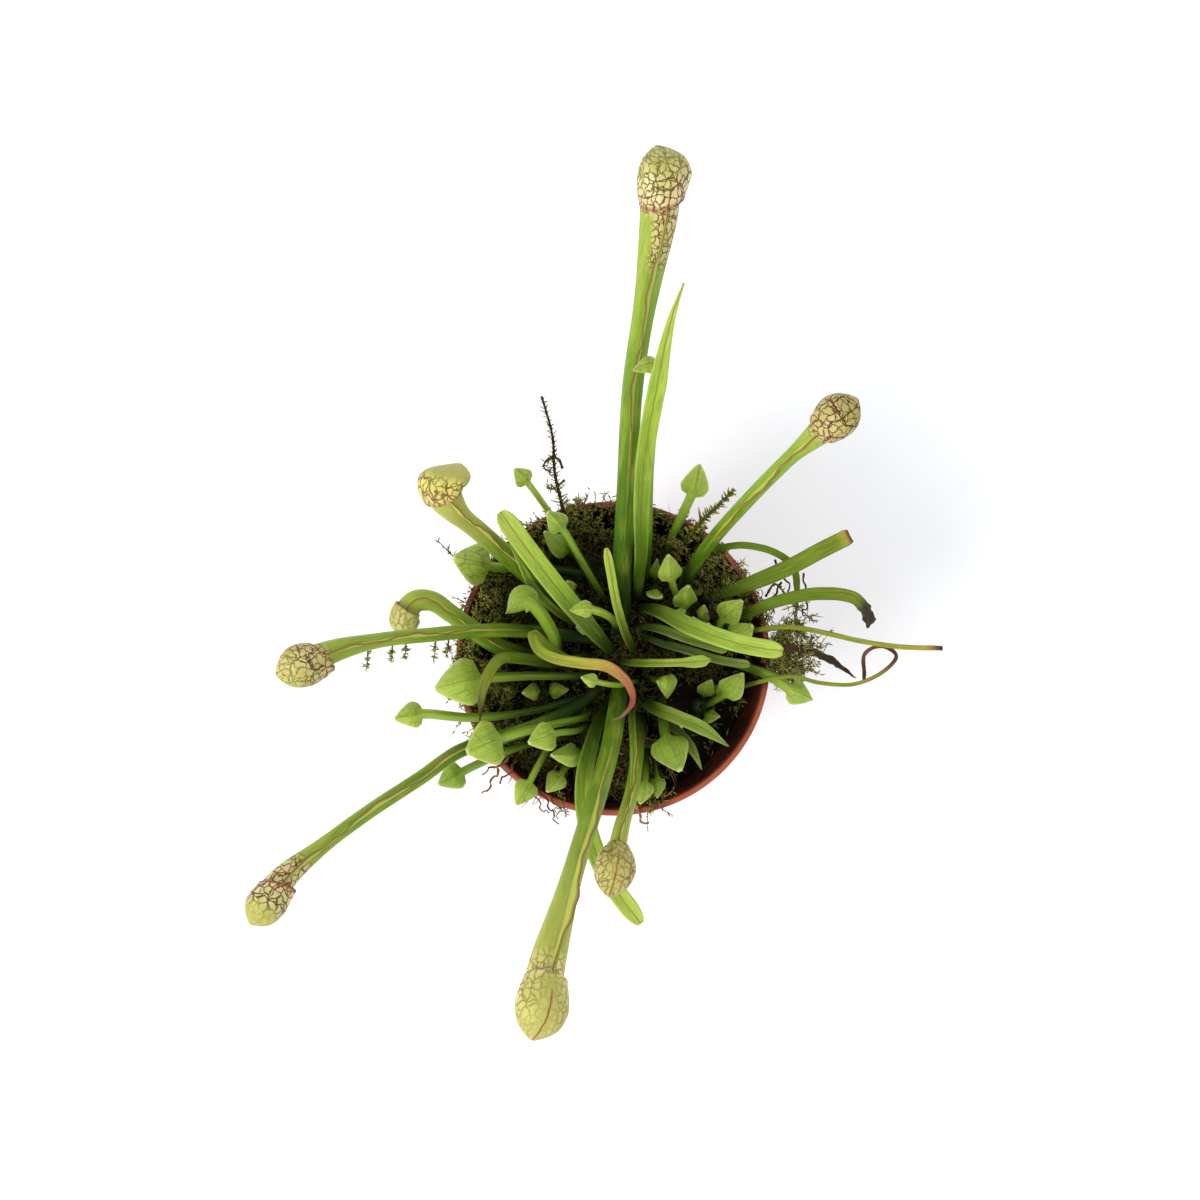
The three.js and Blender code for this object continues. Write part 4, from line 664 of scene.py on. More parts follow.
def srgb(red, green, blue):
    """A colour given as 0 to 255 display values, as the linear values a shader takes."""
    c = np.array([red, green, blue]) / 255
    linear = np.where(c <= 0.04045, c / 12.92, ((c + 0.055) / 1.055) ** 2.4)
    return (*[float(v) for v in linear], 1.0)


class Tree:
    """A node tree with short ways to add nodes. A value may be a constant or another socket."""

    def __init__(self, tree):
        self.tree = tree

    def put(self, socket, value):
        if isinstance(value, bpy.types.NodeSocket):
            self.tree.links.new(value, socket)
        else:
            socket.default_value = value

    def node(self, kind, inputs=(), **settings):
        node = self.tree.nodes.new(kind)
        for key, value in settings.items():
            setattr(node, key, value)
        for key, value in dict(inputs).items():
            self.put(node.inputs[key], value)
        return node

    def read(self, name, output="Fac"):
        return self.node("ShaderNodeAttribute", attribute_name=name).outputs[output]

    def place(self):
        return self.node("ShaderNodeTexCoord").outputs["Object"]

    def math(self, operation, *values):
        return self.node("ShaderNodeMath", enumerate(values), operation=operation).outputs[0]

    def product(self, first, *others):
        for other in others:
            first = self.math("MULTIPLY", first, other)
        return first

    def vector(self, operation, *values):
        return self.node("ShaderNodeVectorMath", enumerate(values), operation=operation).outputs[0]

    def times(self, vector, factors):
        return self.vector("MULTIPLY", vector, factors)

    def step(self, value, low, high, to_low=0.0, to_high=1.0):
        """to_low at low, to_high at high, smooth between and level outside."""
        names = ("Value", "From Min", "From Max", "To Min", "To Max")
        inputs = zip(names, (value, low, high, to_low, to_high))
        return self.node("ShaderNodeMapRange", inputs, interpolation_type="SMOOTHSTEP").outputs[0]

    def blend(self, factor, a, b):
        """From a to b by the factor; each is a socket, three display values or a linear colour."""
        ends = [srgb(*end) if isinstance(end, tuple) and len(end) == 3 else end for end in (a, b)]
        node = self.node("ShaderNodeMix", data_type="RGBA")
        for index, value in zip((0, 6, 7), (factor, *ends)):
            self.put(node.inputs[index], value)
        return node.outputs[2]

    def noise(self, vector, scale, detail=3.0, roughness=0.55):
        inputs = {"Vector": vector, "Scale": scale, "Detail": detail, "Roughness": roughness}
        return self.node("ShaderNodeTexNoise", inputs).outputs[0]

    def cells(self, vector):
        """Distance to the nearest edge of flat unit cells."""
        inputs = {"Vector": vector, "Scale": 1.0, "Randomness": 0.9}
        settings = dict(feature="DISTANCE_TO_EDGE", voronoi_dimensions="2D")
        return self.node("ShaderNodeTexVoronoi", inputs, **settings).outputs["Distance"]

    def ramp(self, value, *stops):
        """Colours along a value, by rows of place, red, green and blue."""
        node = self.node("ShaderNodeValToRGB", {0: value})
        band = node.color_ramp
        while len(band.elements) < len(stops):
            band.elements.new(0.5)
        for element, (place, *colour) in zip(band.elements, stops):
            element.position = place
            element.color = srgb(*colour)
        return node.outputs[0]


def make_leaf_group():
    """leaf_pattern: over a flattened leaf in millimetres (across, along) it puts out Net, 1 on
    the edges of its cells; Main, 1 on the thicker edges of cells over twice as large; Cell, 1
    inside each small one; Streak, fine lengthwise streaks; Blotch, slow long patches; and
    Middle, 1 on a thin line along the leaf's middle.
    """
    made = bpy.data.node_groups.new("leaf_pattern", "ShaderNodeTree")
    for key, value in {"Cell Width": 2.0, "Cell Length": 2.4, "Line": 0.08, "Seed": 0.0}.items():
        socket = made.interface.new_socket(key, in_out="INPUT", socket_type="NodeSocketFloat")
        socket.default_value = value
    for key in ("Net", "Main", "Cell", "Streak", "Blotch", "Middle"):
        made.interface.new_socket(key, in_out="OUTPUT", socket_type="NodeSocketFloat")
    tree = Tree(made)
    given = made.nodes.new("NodeGroupInput").outputs
    ends = made.nodes.new("NodeGroupOutput").inputs
    grow = tree.read("grow", "Vector")
    seed = tree.product(given["Seed"], 37.0)
    shift = tree.node("ShaderNodeCombineXYZ", {"X": seed, "Y": seed, "Z": seed}).outputs[0]
    narrow = tree.math("DIVIDE", 1.0, given["Cell Width"])
    long = tree.math("DIVIDE", 1.0, given["Cell Length"])
    size = tree.node("ShaderNodeCombineXYZ", {"X": narrow, "Y": long}).outputs[0]
    placed = tree.vector("ADD", grow, shift)
    wander = tree.node("ShaderNodeTexNoise", {"Vector": placed, "Scale": 0.6, "Detail": 3.0})
    bent = tree.vector("ADD", placed, tree.times(wander.outputs["Color"], (2.2, 2.6, 0.0)))
    place = tree.times(bent, size)
    small = tree.cells(place)
    large = tree.cells(tree.times(place, (0.4, 0.45, 0.0)))
    across = tree.node("ShaderNodeSeparateXYZ", {0: grow}).outputs["X"]
    off = tree.product(tree.math("SUBTRACT", wander.outputs[0], 0.5), 0.5)
    near = tree.math("ABSOLUTE", tree.math("ADD", across, off))

    def edge(distance, low, high, *to):
        return tree.step(distance, *(tree.product(given["Line"], part) for part in (low, high)), *to)

    masks = {
        "Net": edge(small, 0.3, 1.0, 1.0, 0.0),
        "Main": edge(large, 0.25, 0.75, 1.0, 0.0),
        "Cell": edge(small, 0.7, 1.9),
        "Streak": tree.noise(tree.times(placed, (3.2, 0.16, 1.0)), 1.0, 4.0, 0.6),
        "Blotch": tree.noise(tree.times(placed, (0.3, 0.06, 1.0)), 1.0),
        "Middle": tree.step(near, 0.1, 0.32, 1.0, 0.0),
    }
    for key, value in masks.items():
        tree.put(ends[key], value)
    return made


def material(name, gloss, soak=0.0):
    """(material, tree) for a new material, glossy by that much. Light soaks a little way into a
    leaf, furthest for green.
    """
    made = bpy.data.materials.new(name)
    made.use_nodes = True
    skin = made.node_tree.nodes["Principled BSDF"]
    skin.inputs["Specular IOR Level"].default_value = gloss
    if soak:
        skin.inputs["Subsurface Weight"].default_value = soak
        skin.inputs["Subsurface Radius"].default_value = (0.5, 0.8, 0.15)
        skin.inputs["Subsurface Scale"].default_value = 0.0012
    return made, Tree(made.node_tree)


def finish(made, tree, colour, roughness, height=None, strength=0.0, distance=0.0):
    """The material with its colour, roughness and bumps in place."""
    skin = made.node_tree.nodes["Principled BSDF"]
    tree.put(skin.inputs["Base Color"], colour)
    tree.put(skin.inputs["Roughness"], roughness)
    if height is not None:
        inputs = {"Height": height, "Strength": strength, "Distance": distance}
        tree.put(skin.inputs["Normal"], tree.node("ShaderNodeBump", inputs).outputs[0])
    return made


def use_leaf_group(tree, width, length, line):
    seed = tree.read("tone")
    inputs = {"Cell Width": width, "Cell Length": length, "Line": line, "Seed": seed}
    node = tree.node("ShaderNodeGroup", node_tree=LEAF_PATTERN)
    for key, value in inputs.items():
        tree.put(node.inputs[key], value)
    return node.outputs


def shaded(tree, colour, spared=None):
    """Painted shade: leaf parts low in the crown darken towards a near-black green; a mask may spare
    some of the leaf.
    """
    crown_shade = tree.product(tree.read("crown_shade"), 0.88)
    if spared is not None:
        crown_shade = tree.product(crown_shade, tree.step(spared, 0.0, 1.0, 1.0, 0.2))
    return tree.blend(crown_shade, colour, (10, 22, 3))


def make_pitcher_material():
    """Grown pitchers: dark green at the root, partly painted shade of the crown, yellow-green up
    the tube, olive at the hood. Over the net mask pale windows stand between brown veins, redder by
    the lip; the crest's wing is pale with a brown edge, and the hood is dull red inside. Painted
    shade darkens them low in the crown.
    """
    made, tree = material("grown_pitcher", 0.22, 0.12)
    step, blend, product, read = tree.step, tree.blend, tree.product, tree.read
    share, red, lip, masked = read("share"), read("red"), read("lip"), read("net")
    net = use_leaf_group(tree, 1.75, 2.15, 0.09)
    # The dark root end of this ramp is partly painted shade of the crown.
    low = ((0.0, 30, 52, 5), (0.2, 56, 90, 7), (0.4, 88, 124, 12))
    base = tree.ramp(share, *low, (0.6, 120, 152, 34), (0.78, 142, 164, 50), (1.0, 168, 164, 84))
    base = blend(step(net["Blotch"], 0.42, 0.7, 0.0, 0.4), base, (168, 180, 60))
    base = blend(step(net["Streak"], 0.45, 0.7, 0.0, 0.5), base, (58, 92, 14))
    base = blend(product(read("yellow"), step(share, 0.4, 0.7), 0.5), base, (184, 170, 96))
    base = blend(product(read("wing"), 0.75), base, (186, 192, 84))
    base = blend(product(red, step(share, 0.74, 0.86), 0.75), base, (156, 132, 84))
    window = blend(read("yellow"), (226, 210, 168), (212, 200, 98))
    window = blend(product(red, step(net["Blotch"], 0.3, 0.6)), window, (196, 148, 116))
    window = blend(step(share, 0.87, 0.98, 0.0, 0.55), window, (160, 172, 82))
    throat = product(step(share, 0.66, 0.79), step(share, 0.88, 0.82), 0.75)
    window = blend(product(throat, 0.5), window, (236, 196, 170))
    clear = step(net["Blotch"], 0.62, 0.36, 0.55, 1.0)
    base = blend(product(net["Cell"], masked, read("pale"), clear), base, window)
    dark = blend(tree.math("MAXIMUM", red, lip), (80, 50, 12), (84, 22, 22))
    dark = blend(throat, dark, (124, 26, 30))
    veins = tree.math("MAXIMUM", net["Net"], net["Main"])
    base = blend(product(veins, masked, read("veins")), base, dark)
    base = blend(product(lip, 0.85), base, (112, 42, 28))
    base = blend(product(read("rib"), net["Middle"], 0.85), base, (122, 58, 26))
    base = blend(product(read("inside"), 0.75), base, (96, 44, 28))
    height = tree.math("ADD", product(net["Net"], masked, -1.0), product(net["Streak"], 0.7))
    rough = step(net["Streak"], 0.2, 0.8, 0.34, 0.52)
    return finish(made, tree, shaded(tree, base), rough, height, 0.4, 0.0003)


def make_green_material(name, stops, rim, line, strong, netted):
    """A green leaf: colour along its share of length, lengthwise streaks, slow patches, a margin of
    its own colour, a thin ridge line and faint veins on the hood.
    """
    made, tree = material(name, 0.22, 0.14)
    step, blend, product, read = tree.step, tree.blend, tree.product, tree.read
    hood = read("hood")
    net = use_leaf_group(tree, 1.7, 2.6, 0.1)
    base = tree.ramp(read("share"), *stops)
    base = blend(step(read("tone"), 0.2, 1.0, 0.0, 0.5), base, (96, 130, 24))
    base = blend(step(net["Blotch"], 0.45, 0.7, 0.0, 0.35), base, (172, 186, 66))
    base = blend(step(net["Streak"], 0.4, 0.72, 0.0, strong), base, (56, 88, 14))
    veins = product(net["Net"], hood, step(net["Blotch"], 0.3, 0.6), netted)
    base = blend(veins, base, (84, 102, 24))
    base = blend(product(net["Main"], hood, read("veins")), base, (104, 74, 26))
    base = blend(product(read("ridge"), net["Middle"], 0.55), base, line)
    base = blend(product(read("margin"), 0.7), base, rim)
    height = tree.math("ADD", net["Streak"], product(net["Blotch"], 0.8))
    rough = step(net["Streak"], 0.2, 0.8, 0.3, 0.5)
    # Painted shade low in the crown, lighter on the hood.
    return finish(made, tree, shaded(tree, base, hood), rough, height, 0.35, 0.0003)


def make_withered_material():
    """A withering leaf, by its own dryness along it: green, olive, straw, red, maroon, grey-brown
    and almost black, with ragged borders between them.
    """
    made, tree = material("withered_leaf", 0.12)
    net = use_leaf_group(tree, 0.8, 3.0, 0.1)
    ragged = tree.product(tree.math("SUBTRACT", net["Blotch"], 0.5), 0.15)
    brown = tree.step(tree.math("ADD", tree.read("brown"), ragged), 0.1, 0.9)
    green = ((0.0, 60, 92, 12), (0.18, 98, 122, 24), (0.34, 142, 152, 50), (0.46, 176, 158, 66))
    dead = ((0.58, 170, 112, 70), (0.7, 136, 66, 54), (0.84, 126, 98, 84), (1.0, 30, 20, 16))
    base = tree.ramp(tree.math("ADD", tree.read("dry"), ragged), *green, *dead)
    base = tree.blend(tree.step(net["Streak"], 0.35, 0.75, 0.0, 0.5), base, (50, 44, 20))
    base = tree.blend(tree.product(tree.read("margin"), 0.35), base, (112, 70, 40))
    base = tree.blend(brown, base, tree.blend(net["Streak"], (76, 58, 38), (24, 14, 12)))
    rough = tree.step(net["Streak"], 0.2, 0.8, 0.45, 0.75)
    # Painted shade low in the crown.
    return finish(made, tree, shaded(tree, base), rough, net["Streak"], 0.6, 0.0004)


def make_pot_material():
    """Moulded red-brown plastic with a satin skin, faint upright streaks and near-black painted shade
    inside.
    """
    made, tree = material("pot_plastic", 0.25)
    place, step, blend = tree.place(), tree.step, tree.blend
    fine = tree.noise(place, 900.0, 3.0, 0.6)
    slow = tree.noise(tree.times(place, (60.0, 60.0, 14.0)), 1.0)
    dust = tree.noise(place, 160.0, 5.0, 0.7)
    height = tree.node("ShaderNodeSeparateXYZ", {0: place}).outputs["Z"]
    grimy = tree.product(tree.read("grime"), step(dust, 0.35, 0.6, 0.35, 0.9))
    # Painted shade on the pot's inner wall: nearly black, varied a little by the dust noise.
    inner_shade = tree.product(tree.read("inner"), step(dust, 0.42, 0.6, 0.9, 0.98))
    base = blend(step(slow, 0.3, 0.7), (152, 70, 46), (174, 90, 62))
    base = blend(grimy, base, (66, 30, 20))
    base = blend(inner_shade, base, (26, 9, 8))
    base = blend(step(dust, 0.62, 0.8, 0.0, 0.35), base, (112, 72, 52))
    base = blend(step(height, 0.012, 0.0, 0.0, 0.35), base, (100, 50, 38))
    return finish(made, tree, base, step(dust, 0.3, 0.75, 0.36, 0.6), fine, 0.12, 0.0002)


def make_crumb_material(name, dark, light, fleck, roughness=0.9):
    """Crumbly stuff such as peat: three colours in grains, with a strong fine bump."""
    made, tree = material(name, 0.03)
    place = tree.place()
    grains = tree.noise(place, 420.0, 6.0, 0.72)
    lumps = tree.noise(place, 120.0, 4.0, 0.6)
    base = tree.blend(tree.step(lumps, 0.35, 0.68), dark, light)
    base = tree.blend(tree.step(grains, 0.6, 0.74), base, fleck)
    rough = tree.step(grains, 0.2, 0.8, roughness, roughness - 0.2)
    return finish(made, tree, base, rough, grains, 0.9, 0.0012)


def make_moss_material():
    """Moss strands: dark brown to olive green to tan by each strand's tone, paler to the tip, partly as
    painted highlight, and near-black painted shade at the foot and low in the crown.
    """
    made, tree = material("moss_strands", 0.05)
    tone, share, step = tree.read("tone"), tree.read("share"), tree.step
    browns = ((0.0, 24, 16, 10), (0.22, 52, 38, 18), (0.42, 70, 72, 18))
    base = tree.ramp(tone, *browns, (0.62, 104, 108, 34), (0.8, 150, 134, 62), (1.0, 160, 138, 92))
    # Paler towards the tip: partly the moss's own colour, partly painted highlight.
    base = tree.blend(step(share, 0.35, 1.0, 0.0, 0.8), base, (180, 176, 98))
    # Painted shade: each strand darkens to near black at its foot.
    base = tree.blend(step(share, 0.5, 0.0, 0.0, 0.85), base, (10, 9, 4))
    specks = tree.noise(tree.place(), 260.0)
    base = tree.blend(step(specks, 0.45, 0.7, 0.0, 0.35), base, (44, 36, 12))
    # Painted shade low in the crown.
    base = tree.blend(tree.product(tree.read("crown_shade"), 0.78), base, (7, 8, 3))
    return finish(made, tree, base, 0.75)


def make_root_strand_material():
    """Bare roots and dead stems: red-brown to nearly black by tone, dull."""
    made, tree = material("bare_roots", 0.1)
    stops = ((0.0, 24, 20, 18), (0.35, 62, 40, 28), (0.7, 112, 76, 52), (1.0, 158, 120, 88))
    base = tree.ramp(tree.read("tone"), *stops)
    specks = tree.step(tree.noise(tree.place(), 500.0), 0.4, 0.7, 0.0, 0.5)
    return finish(made, tree, tree.blend(specks, base, (50, 34, 24)), 0.7)


def make_bead_material():
    """White volcanic glass crumbs, dusted by peat."""
    made, tree = material("white_crumbs", 0.2)
    grains = tree.noise(tree.place(), 700.0, 4.0, 0.7)
    base = tree.blend(tree.step(grains, 0.5, 0.75), (226, 222, 212), (150, 136, 116))
    return finish(made, tree, base, 0.85, grains, 0.6, 0.0005)


def make_floor_material():
    """The studio's floor: almost white, with the faintest clouds."""
    made, tree = material("studio_floor", 0.1)
    clouds = tree.step(tree.noise(tree.place(), 6.0), 0.3, 0.7)
    return finish(made, tree, tree.blend(clouds, (0.9, 0.91, 0.92, 1), (0.92, 0.93, 0.94, 1)), 0.9)


# ------------------------------------------------------------------ pot, peat and moss


def outside_at(z):
    return mix(FOOT_RADIUS, RIM_RADIUS - COLLAR_STEP, z / POT_HEIGHT)


def inside_at(z):
    return outside_at(z) - POT_WALL


def around(radius, angle, z=0.0):
    """Points at a radius, an angle and a height."""
    return columns(radius * np.cos(angle), radius * np.sin(angle), z)


DRAIN_SPOTS = around(DRAIN_CIRCLE_RADIUS, round_angles(DRAIN_HOLES))


def pot_skin():
    """The pot turned about its axis from a profile of radius and height, its two flat floor faces
    filled between the turned ring and the drain holes.
    """
    foot, rim, top = POT_HEIGHT - COLLAR_HEIGHT, RIM_RADIUS, POT_HEIGHT
    outer = [
        (FOOT_RADIUS - 1.0, 0), (FOOT_RADIUS - 0.3, 0.3), (FOOT_RADIUS, 1), (outside_at(20), 20),
        (outside_at(foot - 1.3), foot - 1.3), (outside_at(foot - 1), foot - 1),
        (rim - 1.4, foot - 0.2), (rim - 1.1, foot + 0.1), (rim - 0.55, foot + 6),
        (rim - 0.05, top - 1.6), (rim - 0.2, top - 0.5), (rim - 0.7, top - 0.06),
        (rim - 1.1, top), (rim - 1.5, top),
    ]
    inner = [
        (inside_at(top) + 1.1, top - 0.25), (inside_at(top) + 0.5, top - 1.2),
        (inside_at(top - 3), top - 3), (inside_at(foot), foot), (inside_at(30), 30),
        (inside_at(POT_FLOOR + 1), POT_FLOOR + 1), (inside_at(POT_FLOOR) - 0.6, POT_FLOOR),
    ]
    radius, height = np.transpose(outer + inner)[..., None]
    n, count, sides = len(radius), 160, 28
    rings = around(radius, TAU * np.arange(count) / count, height)
    low = DRAIN_SPOTS[:, None] + around(DRAIN_RADIUS, TAU * np.arange(sides) / sides)
    low = low.reshape(-1, 3)
    points = np.vstack([rings.reshape(-1, 3), low, low + [0, 0, POT_FLOOR]])
    start, all_sides = n * count, DRAIN_HOLES * sides
    h, t = np.meshgrid(np.arange(DRAIN_HOLES), np.arange(sides), indexing="ij")
    under, u = start + h * sides, (t + 1) % sides
    over = under + all_sides
    walls = columns(under + t, over + t, over + u, under + u).reshape(-1, 4)
    below = fill_floor(points, np.arange(count), start, sides)[:, ::-1]
    above = fill_floor(points, (n - 1) * count + np.arange(count), start + all_sides, sides)
    quads = np.vstack([tube_quads(n, count), walls])
    # The inner wall, which the pot's material paints with near-black shade.
    shaded_inside = np.repeat(smooth(12.5, 15, np.arange(n)), count)
    shaded_inside = np.concatenate([shaded_inside, np.zeros(len(points) - len(shaded_inside))])
    grime = moss_cover(points[:, :2]) * smooth(68, 74.6, points[:, 2])
    return Skin(points, quads, np.vstack([below, above]), {"inner": shaded_inside, "grime": grime})


def fill_floor(points, ring, start, sides):
    """Triangles, facing up, over the disc inside a ring of points and outside the drain holes."""
    holes = start + np.arange(DRAIN_HOLES * sides).reshape(DRAIN_HOLES, sides)
    index = np.concatenate([ring, holes.ravel()])
    hole_edges = columns(holes, np.roll(holes, -1, axis=1)).reshape(-1, 2) - start + len(ring)
    ring_edges = columns(np.arange(len(ring)), np.roll(np.arange(len(ring)), -1))
    edges = np.vstack([ring_edges, hole_edges]).tolist()
    flat = list(map(Vector, points[index, :2].tolist()))
    faces = index[np.array(delaunay_2d_cdt(flat, edges, [], 0, 1e-6)[2])]
    a, b, c = (points[faces[:, i], :2] for i in range(3))
    turning = (b - a)[:, 0] * (c - a)[:, 1] - (b - a)[:, 1] * (c - a)[:, 0]
    faces[turning < 0] = faces[turning < 0][:, ::-1]
    away = np.linalg.norm(((a + b + c) / 3)[:, None] - DRAIN_SPOTS[:, :2], axis=2).min(1)
    return faces[away > DRAIN_RADIUS * 0.985]


def lattice(points, size, seed):
    """Smooth noise from -1 to 1: random values at the corners of cubes of that size, blended by
    t*t*(3-2t) along each axis.
    """
    values = np.random.default_rng(seed).uniform(-1, 1, (32, 32, 32))
    p = points / size
    cell = np.floor(p).astype(int)
    t = smooth(0, 1, p - cell)
    total = 0
    for corner in range(8):
        step = np.array([corner & 1, corner >> 1 & 1, corner >> 2 & 1])
        i, j, k = np.moveaxis((cell + step) % 32, -1, 0)
        total = total + np.prod(np.where(step, t, 1 - t), -1) * values[i, j, k]
    return total


def peat_top(x, y):
    """Height of the peat: a low mound with lumps that fade out at the pot's wall."""
    r = np.hypot(x, y) / RIM_RADIUS
    lumps = np.sin(0.31 * x + 0.6) * np.cos(0.27 * y) + 0.5 * np.sin(0.23 * x - 0.41 * y)
    mound = PEAT_EDGE + PEAT_MOUND * (1 - smooth(0.25, 0.95, r))
    return mound + 0.7 * lumps * (1 - smooth(0.75, 0.98, r))


def on_peat(xy, lift=0.0):
    return columns(*xy.T, peat_top(*xy.T) + lift)


def peat_skin():
    """The peat: the pot's inside less the gap, with crumbs of two sizes over its top."""
    floor, side = POT_FLOOR + GAP, inside_at(PEAT_EDGE) - GAP
    low = np.linspace(floor, PEAT_EDGE - 0.8, 12)
    radii = np.concatenate([[2, 12], inside_at(low) - GAP, side * np.linspace(1, 0.01, 130)])
    heights = np.concatenate([[floor, floor], low, np.full(130, np.nan)])[:, None]
    flat = around(radii[:, None], TAU * np.arange(240) / 240)
    crumbs = 0.75 * np.abs(lattice(flat, 2.6, 1)) + 0.45 * np.abs(lattice(flat, 1.1, 2)) - 0.25
    crumbs = crumbs * (1 - smooth(0.975, 1, radii / side))[:, None]
    x, y, _ = np.moveaxis(flat, -1, 0)
    return loft(columns(x, y, np.where(np.isnan(heights), peat_top(x, y) + crumbs, heights)))


def bent_lines(rng, starts, ways, lengths, droop, rings=5):
    """(m, rings, 3) middle lines: straight on by the way, plus half the square of the share along
    it times a random bend and a droop towards the ground.
    """
    t = np.linspace(0, 1, rings)[None, :, None]
    bend = rng.normal(0, 0.5, (len(starts), 3)) * [1, 1, 0.4] - Z_AXIS * droop[:, None]
    line = unit(ways)[:, None] * t + 0.5 * bend[:, None] * t**2
    return starts[:, None] + lengths[:, None, None] * line


def spindles(rng, lines, radii, tones, wide=1.0):
    """Thin closed spindles over many lines at once: three-sided sections of half width
    r * (sin(pi t)^0.8 + 0.12), t the share of the length, wide times as wide as high.
    """
    m, rings, _ = lines.shape
    t = np.linspace(0, 1, rings)
    along = unit(np.gradient(lines, axis=1))
    side = unit(np.cross(along, rng.normal(0, 1, (m, 1, 3))))
    up = np.cross(side, along)
    half = radii[:, None] * (np.sin(np.pi * np.clip(t, 0.03, 0.985)) ** 0.8 + 0.12)[None]
    x = (wide * half[..., None] * np.sin(round_angles(3)))[..., None]
    y = (half[..., None] * np.cos(round_angles(3)))[..., None]
    ring = lines[:, :, None] + x * side[:, :, None] + y * up[:, :, None]
    base = (np.arange(m) * rings * 3)[:, None, None]
    end = (rings - 1) * 3
    quads = (base + tube_quads(rings, 3)).reshape(-1, 4)
    tris = (base + np.array([[2, 1, 0], [end, end + 1, end + 2]])).reshape(-1, 3)
    values = {"tone": np.repeat(tones, rings * 3), "share": np.tile(np.repeat(t, 3), m)}
    return Skin(ring.reshape(-1, 3), quads, tris, values)


def leaflets(rng, lines, tones, each, length, radius):
    """Little leaves set along lines, more towards their ends, leaning out and forwards."""
    m, rings, _ = lines.shape
    at = rng.uniform(0.25, 1, (m, each)) * (rings - 1.001)
    low = at.astype(int)
    rows = np.arange(m)[:, None]
    a, b = lines[rows, low], lines[rows, low + 1]
    starts = mix(a, b, (at - low)[..., None]).reshape(-1, 3)
    ways = unit(b - a).reshape(-1, 3) * 0.7 + unit(rng.normal(0, 1, starts.shape)) * 0.9
    reach = rng.uniform(0.6, 1.2, len(starts)) * length
    made = bent_lines(rng, starts, ways, reach, 0 * reach, 3)
    return spindles(rng, made, 0 * reach + radius, np.repeat(tones, each) + 0.08, 1.5)


def moss_cover(xy):
    """How thick moss grows: more towards the rim, thin over the bare peat to the south-east and
    among the roots to the south.
    """
    far = np.hypot(*xy.T)
    r, ways = far / RIM_RADIUS, xy / np.maximum(far, 1)[:, None]
    bare = smooth(0.8, 0.93, ways @ [0.76, -0.65]) * smooth(0.3, 0.5, r)
    south = smooth(0.8, 0.95, ways @ [-0.32, -0.95]) * smooth(0.5, 0.7, r)
    return (0.3 + 0.7 * smooth(0.3, 0.75, r)) * (1 - 0.93 * bare) * (1 - 0.6 * south)


